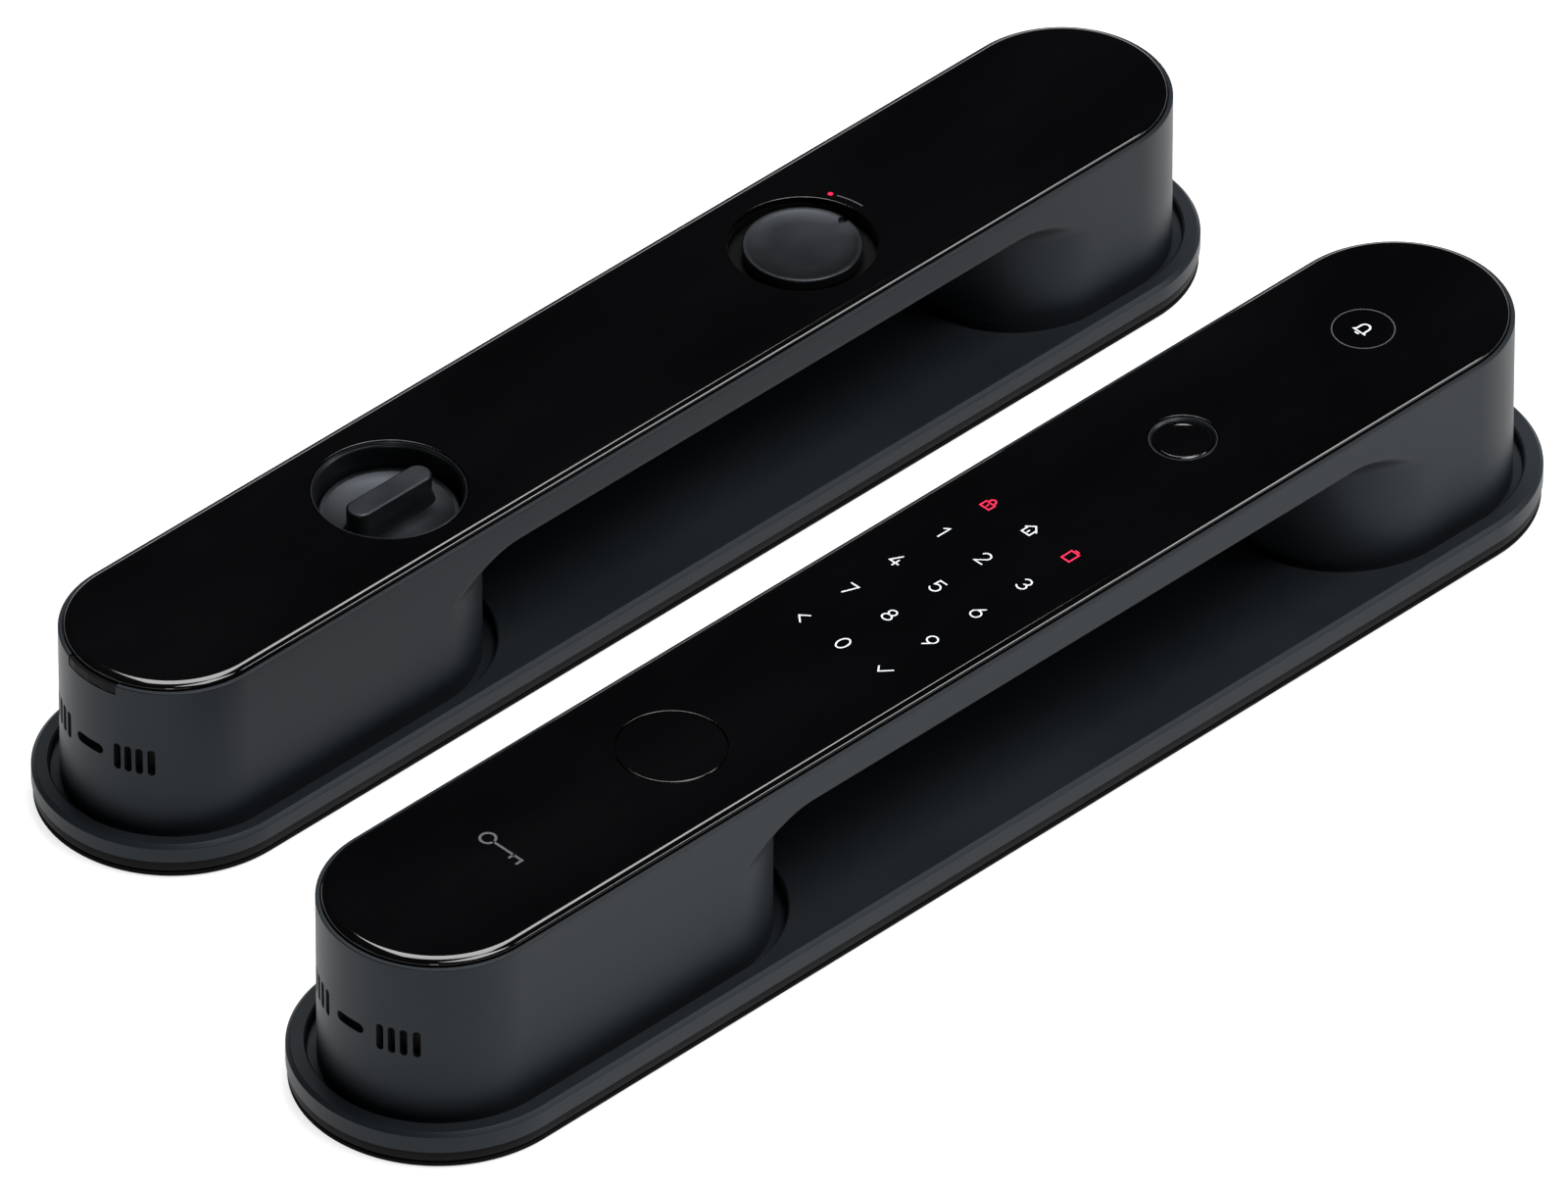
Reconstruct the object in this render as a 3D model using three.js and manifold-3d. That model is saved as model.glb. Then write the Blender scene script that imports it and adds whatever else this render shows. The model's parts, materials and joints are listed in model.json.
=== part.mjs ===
// Push-pull keypad smart lock: the outer keypad unit and the inner thumb-turn unit, lying side by side
// on their backs. Millimetres, +Z away from the door, +Y towards the upper end of both units.
import * as THREE from "three";
import { mergeVertices } from "three/addons/utils/BufferGeometryUtils.js";
import Module from "manifold-3d";

// ---------- driving dimensions ----------
const SET_GAP_X = 126.7; // distance between the two units' centre lines
const SET_SHIFT_Y = 17.8; // the inner unit lies this much further up
const CLEAR = 0.3; // gap between pieces that touch
const RUN_CLEAR = 0.2; // radial gap around a turning piece
const TURN_GAP = 0.8; // visible gap around a knob in its recess

const DRIVE_OFFSET = 6.9; // lock drive axis, above the lower pillar's inner round centre
const BATTERY_LENGTH = 52;
const BATTERY_OVERHANG = 14; // battery's lower end, below the lower round centre
const CONTACTS_LENGTH = 3; // along the battery, with their gap
const CONTACTS_TO_GEAR = 5.05;
const GEAR_MODULE = 1;
const GEAR_ADDENDUM = 0.85; // in modules
const GEAR_DEDENDUM = 1.2; // in modules
const TURN_TEETH = 28;
const SENSOR_TEETH = 14;

// The sensor gear stands between the battery and the drive axis, so both set the inner lower pillar's run.
const GEAR_DISTANCE = (GEAR_MODULE * (TURN_TEETH + SENSOR_TEETH)) / 2;
const SENSOR_GEAR_REACH = GEAR_MODULE * (SENSOR_TEETH / 2 + GEAR_ADDENDUM);
const BATTERY_END = BATTERY_LENGTH - BATTERY_OVERHANG + CONTACTS_LENGTH;
const DRIVE_FROM_BATTERY = CONTACTS_TO_GEAR + SENSOR_GEAR_REACH + GEAR_DISTANCE;

// Outer shape of each unit. span is the distance between the centres of a plate's round ends, the runs
// are the straight lengths of the pillars, and inset is the step from plate edge to handle side.
const KEYPAD_SHELL = {
  plateWidth: 76,
  span: 333,
  plateTop: 10.5,
  inset: 7.8,
  handleTop: 56.3,
  glassTop: 57.9,
  barDepth: 9.6,
  lowerRun: 73,
  upperRun: 18,
  flare: 10,
  portZ: 32.5,
};
const INNER_SHELL = {
  plateWidth: 71,
  span: 311,
  plateTop: 9.9,
  inset: 7.3,
  handleTop: 52.6,
  glassTop: 54.1,
  barDepth: 9,
  lowerRun: BATTERY_END + DRIVE_FROM_BATTERY - DRIVE_OFFSET,
  upperRun: 17,
  flare: 9.3,
  portZ: 30.4,
};

const GASKET_THICK = 1.5;
const BASE_THICK = 2.7;
const BASE_INSET = 0.4; // gasket and base sit this far inside the plate's edge
const PLATE_CHAMFER = 1.1;
const PLATE_SKIN = 2; // wall left over the plate's underside hollow
const POCKET_FLOOR = 1.7;
const POCKET_GAP = 2.8; // gap between a pillar and its pocket's lip
const POCKET_CRESCENT = 1.2; // extra gap at a pillar's inner end

const BAR_FLOOR = 2.2;
const HANDLE_WALL = 2.4;
const HANDLE_FLOOR = 2.5;
const RIM_WALL = 1.1; // thin rim around the glass
const REBATE_DEPTH = 2.7;

const GLASS_THICK = 1.7;
const GLASS_SOFT_EDGE = 2.7; // across
const GLASS_DROP = 1.2; // and down
const CARRIER_THICK = 2;
const BOARD_THICK = 1.6;

const CABLE_OFFSET = 24.5; // cable window, below the same centre
const CABLE_WIDTH = 24;
const CABLE_HEIGHT = 10;
const PORT_WIDTH = 9.3;
const PORT_HEIGHT = 3;
const PORT_LENGTH = 7.4;
const PORT_SHELL = 0.1; // the socket's shell is this much taller than its slot, each side
const VENT_WIDTH = 2;
const VENT_HEIGHT = 8;
const SCREEN_THICK = 0.6;
const VENT_ANGLES = [18, 24, 30, 36.4]; // degrees to each side of the end's middle

const SCREW_RADIUS = 1.7;
const SCREW_HEAD_RADIUS = 3.5;
const SCREW_LENGTH = 12;
const SCREW_INSET = 5; // wall to boss, and round centre to screw
const BOSS_RADIUS = 4;
const BOSS_HEIGHT = 14;
const POST_RADIUS = 5;
const POST_BORE = 2.1;
const HOLLOW_INSET = 8; // pillar's inner end to the hollow under the plate
const LOW_POST_INSET = 10.3; // lower post, from the lower end of the hollow
const TOP_POST_INSET = 51.3; // upper post, from the hollow's upper end
const MOUNTING_PLATE_MARGIN = 8; // past each post

// Ends of the hollow under a unit's plate, measured from its drive axis.
function hollowEnds({ plateWidth, inset, span, lowerRun, upperRun }) {
  const aside = plateWidth / 2 - inset + HOLLOW_INSET;
  return { low: aside - DRIVE_OFFSET, top: span - lowerRun - upperRun - aside - DRIVE_OFFSET };
}

// One pair of posts joins both units through the door, so it stands in the hollow that both share.
const HOLLOWS = [KEYPAD_SHELL, INNER_SHELL].map(hollowEnds);
const POST_OFFSET = Math.max(...HOLLOWS.map(({ low }) => low)) + LOW_POST_INSET; // above the drive axis
const POST_SPACING = Math.min(...HOLLOWS.map(({ top }) => top)) - TOP_POST_INSET - POST_OFFSET;

// keypad unit
const KEY_COVER_RADIUS = 14;
const KEY_WELL_WALL = 1.4;
const CYLINDER_RADIUS = 9.5;
const CYLINDER_FLANGE = 3;
const PLUG_RADIUS = 6.6;
const CYLINDER_TOP = 44;
const KEYWAY_WIDTH = 1.8;
const KEYWAY_HEIGHT = 9;
const KEYWAY_DEPTH = 25;
const TAIL_WIDTH = 8;
const TAIL_THICK = 2;
const FINGERPRINT_RADIUS = 9.2;
const FINGERPRINT_RIM = 1;
const FINGERPRINT_FROM_TOP = 75.2; // from the upper round centre
const KEYPAD_WIDTH = 40;
const KEYPAD_HEIGHT = 80;
const KEYPAD_FROM_TOP = 161; // middle of the lit keys, from the upper round centre
const TAMPER_RADIUS = 2.5;
const TAMPER_COLLAR = 1.2;
const TAMPER_TRAVEL = 2;

// inner unit
const THUMB_RECESS_RADIUS = 18.7;
const THUMB_RING_WALL = 1;
const THUMB_FOOT_LAP = 0.8; // the recess ring's foot over the bar's floor, past the pillar's shaft
const THUMB_FOOT_THICK = 0.4;
const THUMB_DEPTH = 7; // glass to the rim of the thumb-turn's dish
const THUMB_DISC_THICK = 2.8;
const THUMB_BAR_LENGTH = 28;
const THUMB_BAR_WIDTH = 7;
const THUMB_BAR_FOOT = 9.4;
const SHAFT_RADIUS = 6.5;
const BUSHING_WALL = 1.5;
const SOCKET_WIDTH = 8;
const SOCKET_DEPTH = 18;
const PRIVACY_RECESS_RADIUS = 19.2;
const PRIVACY_KNOB_RADIUS = 15.4;
const PRIVACY_FROM_TOP = 92; // from the upper round centre
const PRIVACY_KNOB_THICK = 3.2;
const PRIVACY_STEM = 4;
const SWITCH_RADIUS = 11;
const GEAR_THICK = 4;
const GEAR_Z = 30;
const BATTERY_WIDTH = 37.6;
const BATTERY_HEIGHT = 18.5;
const BUTTON_RADIUS = 3;
const BUTTON_TRAVEL = 0.8;
const BUTTON_SWITCH_TALL = 4;
const TAB_WIDTH = 17;
const TAB_HEIGHT = 2.5;

// ---------- solids ----------
const wasm = await Module();
wasm.setup();
const FINE = 8; // half the number of segments in a round end
const ROUND = 20; // segments in a round piece
const DIAL = 32; // segments in the knobs that the hand turns
const SMALL = 12; // segments in screws and pins

function solid(geometry) {
  const bare = geometry.clone();
  bare.deleteAttribute("normal");
  bare.deleteAttribute("uv");
  const merged = mergeVertices(bare, 1e-4);
  return new wasm.Manifold(
    new wasm.Mesh({
      numProp: 3,
      vertProperties: merged.attributes.position.array,
      triVerts: new Uint32Array(merged.index.array),
    }),
  );
}

function geometryOf(shape) {
  const { vertProperties, triVerts } = shape.getMesh();
  const geometry = new THREE.BufferGeometry();
  geometry.setAttribute("position", new THREE.BufferAttribute(vertProperties, 3));
  geometry.setIndex(new THREE.BufferAttribute(triVerts, 1));
  geometry.computeVertexNormals();
  return geometry;
}

const join = (first, ...rest) => rest.reduce((sum, piece) => sum.add(piece), first);
const cut = (body, ...tools) => tools.reduce((left, tool) => left.subtract(tool), body);

// A racetrack outline: two round ends of one radius with their centres at yLow and yHigh.
function racetrack(radius, yLow, yHigh) {
  const shape = new THREE.Shape();
  shape.absarc(0, yHigh, radius, 0, Math.PI, false);
  shape.absarc(0, yLow, radius, Math.PI, 2 * Math.PI, false);
  shape.closePath();
  return shape;
}

function prism(shape, zLow, zHigh, segments = FINE) {
  const geometry = new THREE.ExtrudeGeometry(shape, {
    depth: zHigh - zLow,
    bevelEnabled: false,
    curveSegments: segments,
  });
  return solid(geometry.translate(0, 0, zLow));
}

const slab = (radius, [yLow, yHigh], [zLow, zHigh]) =>
  prism(racetrack(radius, yLow, yHigh), zLow, zHigh);

// A prism whose top edge is bevelled by size across and thick down, in one or more steps.
function softPrism(shape, zLow, zHigh, size, thick, steps) {
  const geometry = new THREE.ExtrudeGeometry(shape, {
    depth: zHigh - zLow,
    bevelEnabled: true,
    bevelSize: size,
    bevelOffset: -size,
    bevelThickness: thick,
    bevelSegments: steps,
    curveSegments: FINE,
  });
  const whole = solid(geometry.translate(0, 0, zLow - thick));
  return whole.intersect(block([-500, 500], [-500, 500], [zLow, zHigh]));
}

function block([x0, x1], [y0, y1], [z0, z1]) {
  const geometry = new THREE.BoxGeometry(x1 - x0, y1 - y0, z1 - z0);
  return solid(geometry.translate((x0 + x1) / 2, (y0 + y1) / 2, (z0 + z1) / 2));
}

function cylinder(radius, zLow, zHigh, x = 0, y = 0, segments = ROUND) {
  const geometry = new THREE.CylinderGeometry(radius, radius, zHigh - zLow, segments);
  geometry.rotateX(Math.PI / 2);
  return solid(geometry.translate(x, y, (zLow + zHigh) / 2));
}

const ring = (outer, inner, zLow, zHigh, x, y, segments) =>
  cut(
    cylinder(outer, zLow, zHigh, x, y, segments),
    cylinder(inner, zLow - 1, zHigh + 1, x, y, segments),
  );

// A solid of revolution about a vertical line; profile holds [radius, z] pairs.
function turned(profile, x, y, segments = ROUND) {
  const points = profile.map(([radius, z]) => new THREE.Vector2(radius, z));
  const geometry = new THREE.LatheGeometry(points, segments);
  geometry.rotateX(Math.PI / 2);
  return solid(geometry.translate(x, y, 0));
}

// ---------- materials ----------
const finish = (color, roughness, metalness) => ({ color, roughness, metalness });
const ANODISED = finish(0x2e3236, 0.38, 0.8);
const BLACK_GLASS = finish(0x050506, 0.05, 0.1);
const BLACK_PLASTIC = finish(0x121315, 0.55, 0);
const DARK_METAL = finish(0x1b1e21, 0.4, 0.7);
const RUBBER = finish(0x0c0c0d, 0.9, 0);
const STEEL = finish(0xa8abae, 0.35, 1);
const BRASS = finish(0xb08d4a, 0.35, 1);
const BOARD = finish(0x0d3a22, 0.6, 0);
const DIFFUSER = finish(0xd8d8d4, 0.5, 0);
const BATTERY_WRAP = finish(0x24507c, 0.5, 0);

// ---------- pieces that both units share ----------
class LockUnit {
  constructor(shell, x, y) {
    Object.assign(this, shell);
    this.group = new THREE.Group();
    this.group.position.set(x, y, 0);
    this.plateRadius = this.plateWidth / 2;
    this.handleRadius = this.plateRadius - this.inset;
    this.cavityRadius = this.handleRadius - HANDLE_WALL;
    this.rebateRadius = this.handleRadius - RIM_WALL;
    this.carrierRadius = this.rebateRadius - CLEAR;
    this.lowEnd = -this.span / 2;
    this.topEnd = this.span / 2;
    this.ends = [this.lowEnd, this.topEnd];
    this.lowPillarInner = this.lowEnd + this.lowerRun;
    this.topPillarInner = this.topEnd - this.upperRun;
    this.driveY = this.lowPillarInner + DRIVE_OFFSET;
    this.baseBottom = GASKET_THICK + CLEAR;
    this.baseTop = this.baseBottom + BASE_THICK;
    this.plateBottom = this.baseTop + CLEAR;
    this.pocketFloorTop = this.plateBottom + POCKET_FLOOR;
    this.handleBottom = this.pocketFloorTop + CLEAR;
    this.cavityFloor = this.handleBottom + HANDLE_FLOOR;
    this.barBottom = this.handleTop - this.barDepth;
    this.barFloorTop = this.barBottom + BAR_FLOOR;
    this.rebateZ = this.handleTop - REBATE_DEPTH;
    this.carrierBottom = this.rebateZ + CLEAR;
    this.carrierTop = this.carrierBottom + CARRIER_THICK;
    this.glassBottom = this.glassTop - GLASS_THICK;
    this.screwX = this.cavityRadius - BOSS_RADIUS - SCREW_INSET;
    this.lowScrewY = this.lowEnd + SCREW_INSET;
    this.topScrewY = this.topEnd - SCREW_INSET;
    this.cableY = this.lowPillarInner - CABLE_OFFSET;
    this.screwPlaces = [
      { x: -this.screwX, y: this.lowScrewY },
      { x: this.screwX, y: this.lowScrewY },
      { x: 0, y: this.topScrewY },
    ];
    this.postYs = [this.driveY + POST_OFFSET, this.driveY + POST_OFFSET + POST_SPACING];
    // Socket for the charging plug, just behind its slot in the end wall.
    this.portFront = this.lowEnd - this.cavityRadius + 0.5;
    // Board that carries the port, in the lower pillar's outer half.
    this.mainBoardTop = this.portZ - PORT_HEIGHT / 2 - PORT_SHELL - CLEAR;
    this.mainBoardEnd = this.cableY - CABLE_HEIGHT / 2 - 3;
  }

  place(name, shape, look) {
    const mesh = new THREE.Mesh(geometryOf(shape), new THREE.MeshStandardMaterial(look));
    mesh.name = name;
    this.group.add(mesh);
  }

  // A slot with round ends, width across and height up, cut along -Y and then turned about a round end.
  wallSlot(width, height, angle) {
    const half = Math.min(width, height) / 2;
    const run = Math.max(width, height) / 2 - half;
    const outline = racetrack(half, -run, run);
    const geometry = new THREE.ExtrudeGeometry(outline, {
      depth: 3 * HANDLE_WALL,
      bevelEnabled: false,
      curveSegments: 2,
    });
    if (width > height) geometry.rotateZ(Math.PI / 2);
    geometry.rotateX(Math.PI / 2);
    geometry.translate(0, -this.handleRadius + 2 * HANDLE_WALL, this.portZ);
    geometry.rotateZ(THREE.MathUtils.degToRad(angle));
    return solid(geometry.translate(0, this.lowEnd, 0));
  }

  cableWindow(zLow, zHigh) {
    return block(
      [-CABLE_WIDTH / 2, CABLE_WIDTH / 2],
      [this.cableY - CABLE_HEIGHT / 2, this.cableY + CABLE_HEIGHT / 2],
      [zLow, zHigh],
    );
  }

  driveHole(radius, zLow, zHigh) {
    return cylinder(radius, zLow, zHigh, 0, this.driveY);
  }

  backLayer(zLow, zHigh, extraHoles) {
    const sheet = slab(this.plateRadius - BASE_INSET, this.ends, [zLow, zHigh]);
    const driven = this.driveHole(SHAFT_RADIUS + 1.5, zLow - 1, zHigh + 1);
    return cut(sheet, this.cableWindow(zLow - 1, zHigh + 1), driven, ...extraHoles);
  }

  gasket(extraHoles) {
    return this.backLayer(0, GASKET_THICK, extraHoles);
  }

  base(extraHoles) {
    const headHoles = this.screwPlaces.map(({ x, y }) =>
      cylinder(SCREW_HEAD_RADIUS + CLEAR, 0, this.plateBottom, x, y, SMALL),
    );
    return this.backLayer(this.baseBottom, this.baseTop, [...headHoles, ...extraHoles]);
  }

  // The pocket that one pillar stands in.
  pocket(yLow, yHigh) {
    const depth = [this.pocketFloorTop, this.plateTop + 1];
    return slab(this.handleRadius + POCKET_GAP, [yLow, yHigh], depth);
  }

  plate(extraHoles) {
    const outline = racetrack(this.plateRadius, this.lowEnd, this.topEnd);
    const body = softPrism(outline, this.plateBottom, this.plateTop, PLATE_CHAMFER, PLATE_CHAMFER, 1);
    const hollowX = this.handleRadius + 1;
    const { low, top } = hollowEnds(this);
    const hollow = block(
      [-hollowX, hollowX],
      [this.driveY + low, this.driveY + top],
      [this.plateBottom - 1, this.plateTop - PLATE_SKIN],
    );
    const screwHoles = this.screwPlaces.map(({ x, y }) =>
      cylinder(SCREW_RADIUS + CLEAR, 0, this.plateTop, x, y, SMALL),
    );
    return cut(
      body,
      this.pocket(this.lowEnd, this.lowPillarInner + POCKET_CRESCENT),
      this.pocket(this.topPillarInner - POCKET_CRESCENT, this.topEnd),
      hollow,
      this.cableWindow(0, this.plateTop),
      this.driveHole(SHAFT_RADIUS + 1.5, 0, this.plateTop),
      ...screwHoles,
      ...extraHoles,
    );
  }

  // A pillar's inner end: upright below, then flaring out to meet the bar's underside.
  flaredEnd(y) {
    const steps = 4;
    const flare = Array.from({ length: steps + 1 }, (_, i) => {
      const angle = (i / steps) * (Math.PI / 2);
      const out = this.flare * (1 - Math.cos(angle));
      return [this.handleRadius + out, this.barBottom - this.flare * (1 - Math.sin(angle))];
    });
    const top = this.barBottom + 1;
    const widest = this.handleRadius + this.flare;
    const profile = [
      [0, this.handleBottom],
      [this.handleRadius, this.handleBottom],
      ...flare,
      [widest, top],
      [0, top],
    ];
    return turned(profile, 0, y, 4 * FINE);
  }

  handle(extraCuts) {
    const wide = this.plateRadius;
    const past = this.handleTop + 1;
    const outline = slab(this.handleRadius, this.ends, [this.handleBottom, this.handleTop]);
    const upright = [this.handleBottom, this.barBottom + 1];
    const bar = [this.lowEnd - wide, this.topEnd + wide];
    const outside = outline.intersect(
      join(
        block([-wide, wide], bar, [this.barBottom, past]),
        block([-wide, wide], [bar[0], this.lowPillarInner], upright),
        block([-wide, wide], [this.topPillarInner, bar[1]], upright),
        this.flaredEnd(this.lowPillarInner),
        this.flaredEnd(this.topPillarInner),
      ),
    );
    const shaft = [this.cavityFloor, this.barFloorTop + 1];
    const cavities = [
      slab(this.cavityRadius, this.ends, [this.barFloorTop, past]),
      slab(this.cavityRadius, [this.lowEnd, this.lowPillarInner], shaft),
      slab(this.cavityRadius, [this.topPillarInner, this.topEnd], shaft),
      slab(this.rebateRadius, this.ends, [this.rebateZ, past]),
    ];
    const bosses = this.screwPlaces.map(({ x, y }) =>
      cylinder(BOSS_RADIUS, this.cavityFloor - 1, this.handleBottom + BOSS_HEIGHT, x, y, SMALL),
    );
    const screwHoles = this.screwPlaces.map(({ x, y }) =>
      cylinder(SCREW_RADIUS + CLEAR, 0, this.handleBottom + BOSS_HEIGHT - 1, x, y, SMALL),
    );
    const vents = VENT_ANGLES.flatMap((angle) => [-angle, angle]).map((angle) =>
      this.wallSlot(VENT_WIDTH, VENT_HEIGHT, angle),
    );
    return cut(
      join(cut(outside, ...cavities), ...bosses),
      ...screwHoles,
      ...vents,
      this.wallSlot(PORT_WIDTH, PORT_HEIGHT, 0),
      this.cableWindow(0, this.cavityFloor + 1),
      this.driveHole(SHAFT_RADIUS + 1.5, 0, this.cavityFloor + 1),
      ...extraCuts,
    );
  }

  handleScrew({ x, y }) {
    const headTop = this.plateBottom - CLEAR;
    const head = cylinder(SCREW_HEAD_RADIUS, this.baseBottom, headTop, x, y, SMALL);
    const shank = cylinder(SCREW_RADIUS, headTop - 0.5, headTop + SCREW_LENGTH, x, y, SMALL);
    const hexSocket = cylinder(1.5, 0, headTop - 1, x, y, 6);
    return cut(join(head, shank), hexSocket);
  }

  portReceptacle() {
    const back = this.portFront + PORT_LENGTH;
    const height = PORT_HEIGHT + 2 * PORT_SHELL;
    const shell = this.flatTube(PORT_WIDTH - 0.4, height, this.portFront, back);
    const mouth = this.flatTube(PORT_WIDTH - 1, height - 0.6, this.portFront - 1, back - 1.2);
    const tongue = block(
      [-3.3, 3.3],
      [this.portFront + 0.8, back - 1],
      [this.portZ - 0.35, this.portZ + 0.35],
    );
    return join(cut(shell, mouth), tongue);
  }

  // A flat-sided tube outline along Y at the port's height.
  flatTube(width, height, yLow, yHigh) {
    const outline = racetrack(height / 2, -(width - height) / 2, (width - height) / 2);
    const geometry = new THREE.ExtrudeGeometry(outline, {
      depth: yHigh - yLow,
      bevelEnabled: false,
      curveSegments: 6,
    });
    geometry.rotateZ(Math.PI / 2);
    geometry.rotateX(Math.PI / 2);
    return solid(geometry.translate(0, yHigh, this.portZ));
  }

  // Dust screen: a thin curved strip behind the vents, with a window for the port.
  ventScreen() {
    const outer = this.cavityRadius - CLEAR;
    const half = VENT_HEIGHT / 2 + 2;
    const z = [this.portZ - half, this.portZ + half];
    const band = ring(outer, outer - SCREEN_THICK, ...z, 0, this.lowEnd, 4 * FINE);
    const reach = outer * Math.sin(THREE.MathUtils.degToRad(VENT_ANGLES.at(-1) + 5));
    const front = block([-reach, reach], [this.lowEnd - 2 * outer, this.lowEnd], [0, this.handleTop]);
    const window = block(
      [-PORT_WIDTH / 2 - 0.5, PORT_WIDTH / 2 + 0.5],
      [this.lowEnd - 2 * outer, this.lowEnd],
      [this.portZ - PORT_HEIGHT, this.portZ + PORT_HEIGHT],
    );
    return cut(band.intersect(front), window);
  }

  mainBoard() {
    const wide = this.plateRadius;
    const z = [this.mainBoardTop - BOARD_THICK, this.mainBoardTop];
    const outline = slab(this.cavityRadius - 2, [this.lowEnd, this.mainBoardEnd], z);
    return outline.intersect(block([-wide, wide], [this.lowEnd - wide, this.mainBoardEnd], z));
  }

  cableSocket() {
    const top = this.mainBoardTop - BOARD_THICK - CLEAR;
    const back = this.mainBoardEnd - 2;
    return cut(
      block([-8, 8], [back - 9, back], [top - 7, top]),
      block([-6.5, 6.5], [back - 7, back + 1], [top - 5.7, top - 2.2]),
    );
  }

  // Uncut glass panel with a soft edge.
  glassSheet() {
    const outline = racetrack(this.carrierRadius - 0.1, this.lowEnd, this.topEnd);
    return softPrism(outline, this.glassBottom, this.glassTop, GLASS_SOFT_EDGE, GLASS_DROP, 3);
  }

  // backHoles go through the gasket and base only, throughHoles go through every layer of the back.
  addShared(prefix, { backHoles, throughHoles, handleCuts }) {
    this.place(prefix + "_gasket", this.gasket([...backHoles, ...throughHoles]), RUBBER);
    this.place(prefix + "_base", this.base([...backHoles, ...throughHoles]), BLACK_PLASTIC);
    this.place(prefix + "_back_plate", this.plate(throughHoles), ANODISED);
    this.place(prefix + "_handle", this.handle([...throughHoles, ...handleCuts]), ANODISED);
    this.screwPlaces.forEach((spot, i) =>
      this.place(prefix + "_handle_screw_" + (i + 1), this.handleScrew(spot), STEEL),
    );
    this.place(prefix + "_charging_port", this.portReceptacle(), STEEL);
    this.place(prefix + "_vent_screen", this.ventScreen(), BLACK_PLASTIC);
    this.place(prefix + "_main_board", this.mainBoard(), BOARD);
    this.place(prefix + "_cable_socket", this.cableSocket(), DIFFUSER);
  }
}

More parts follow.
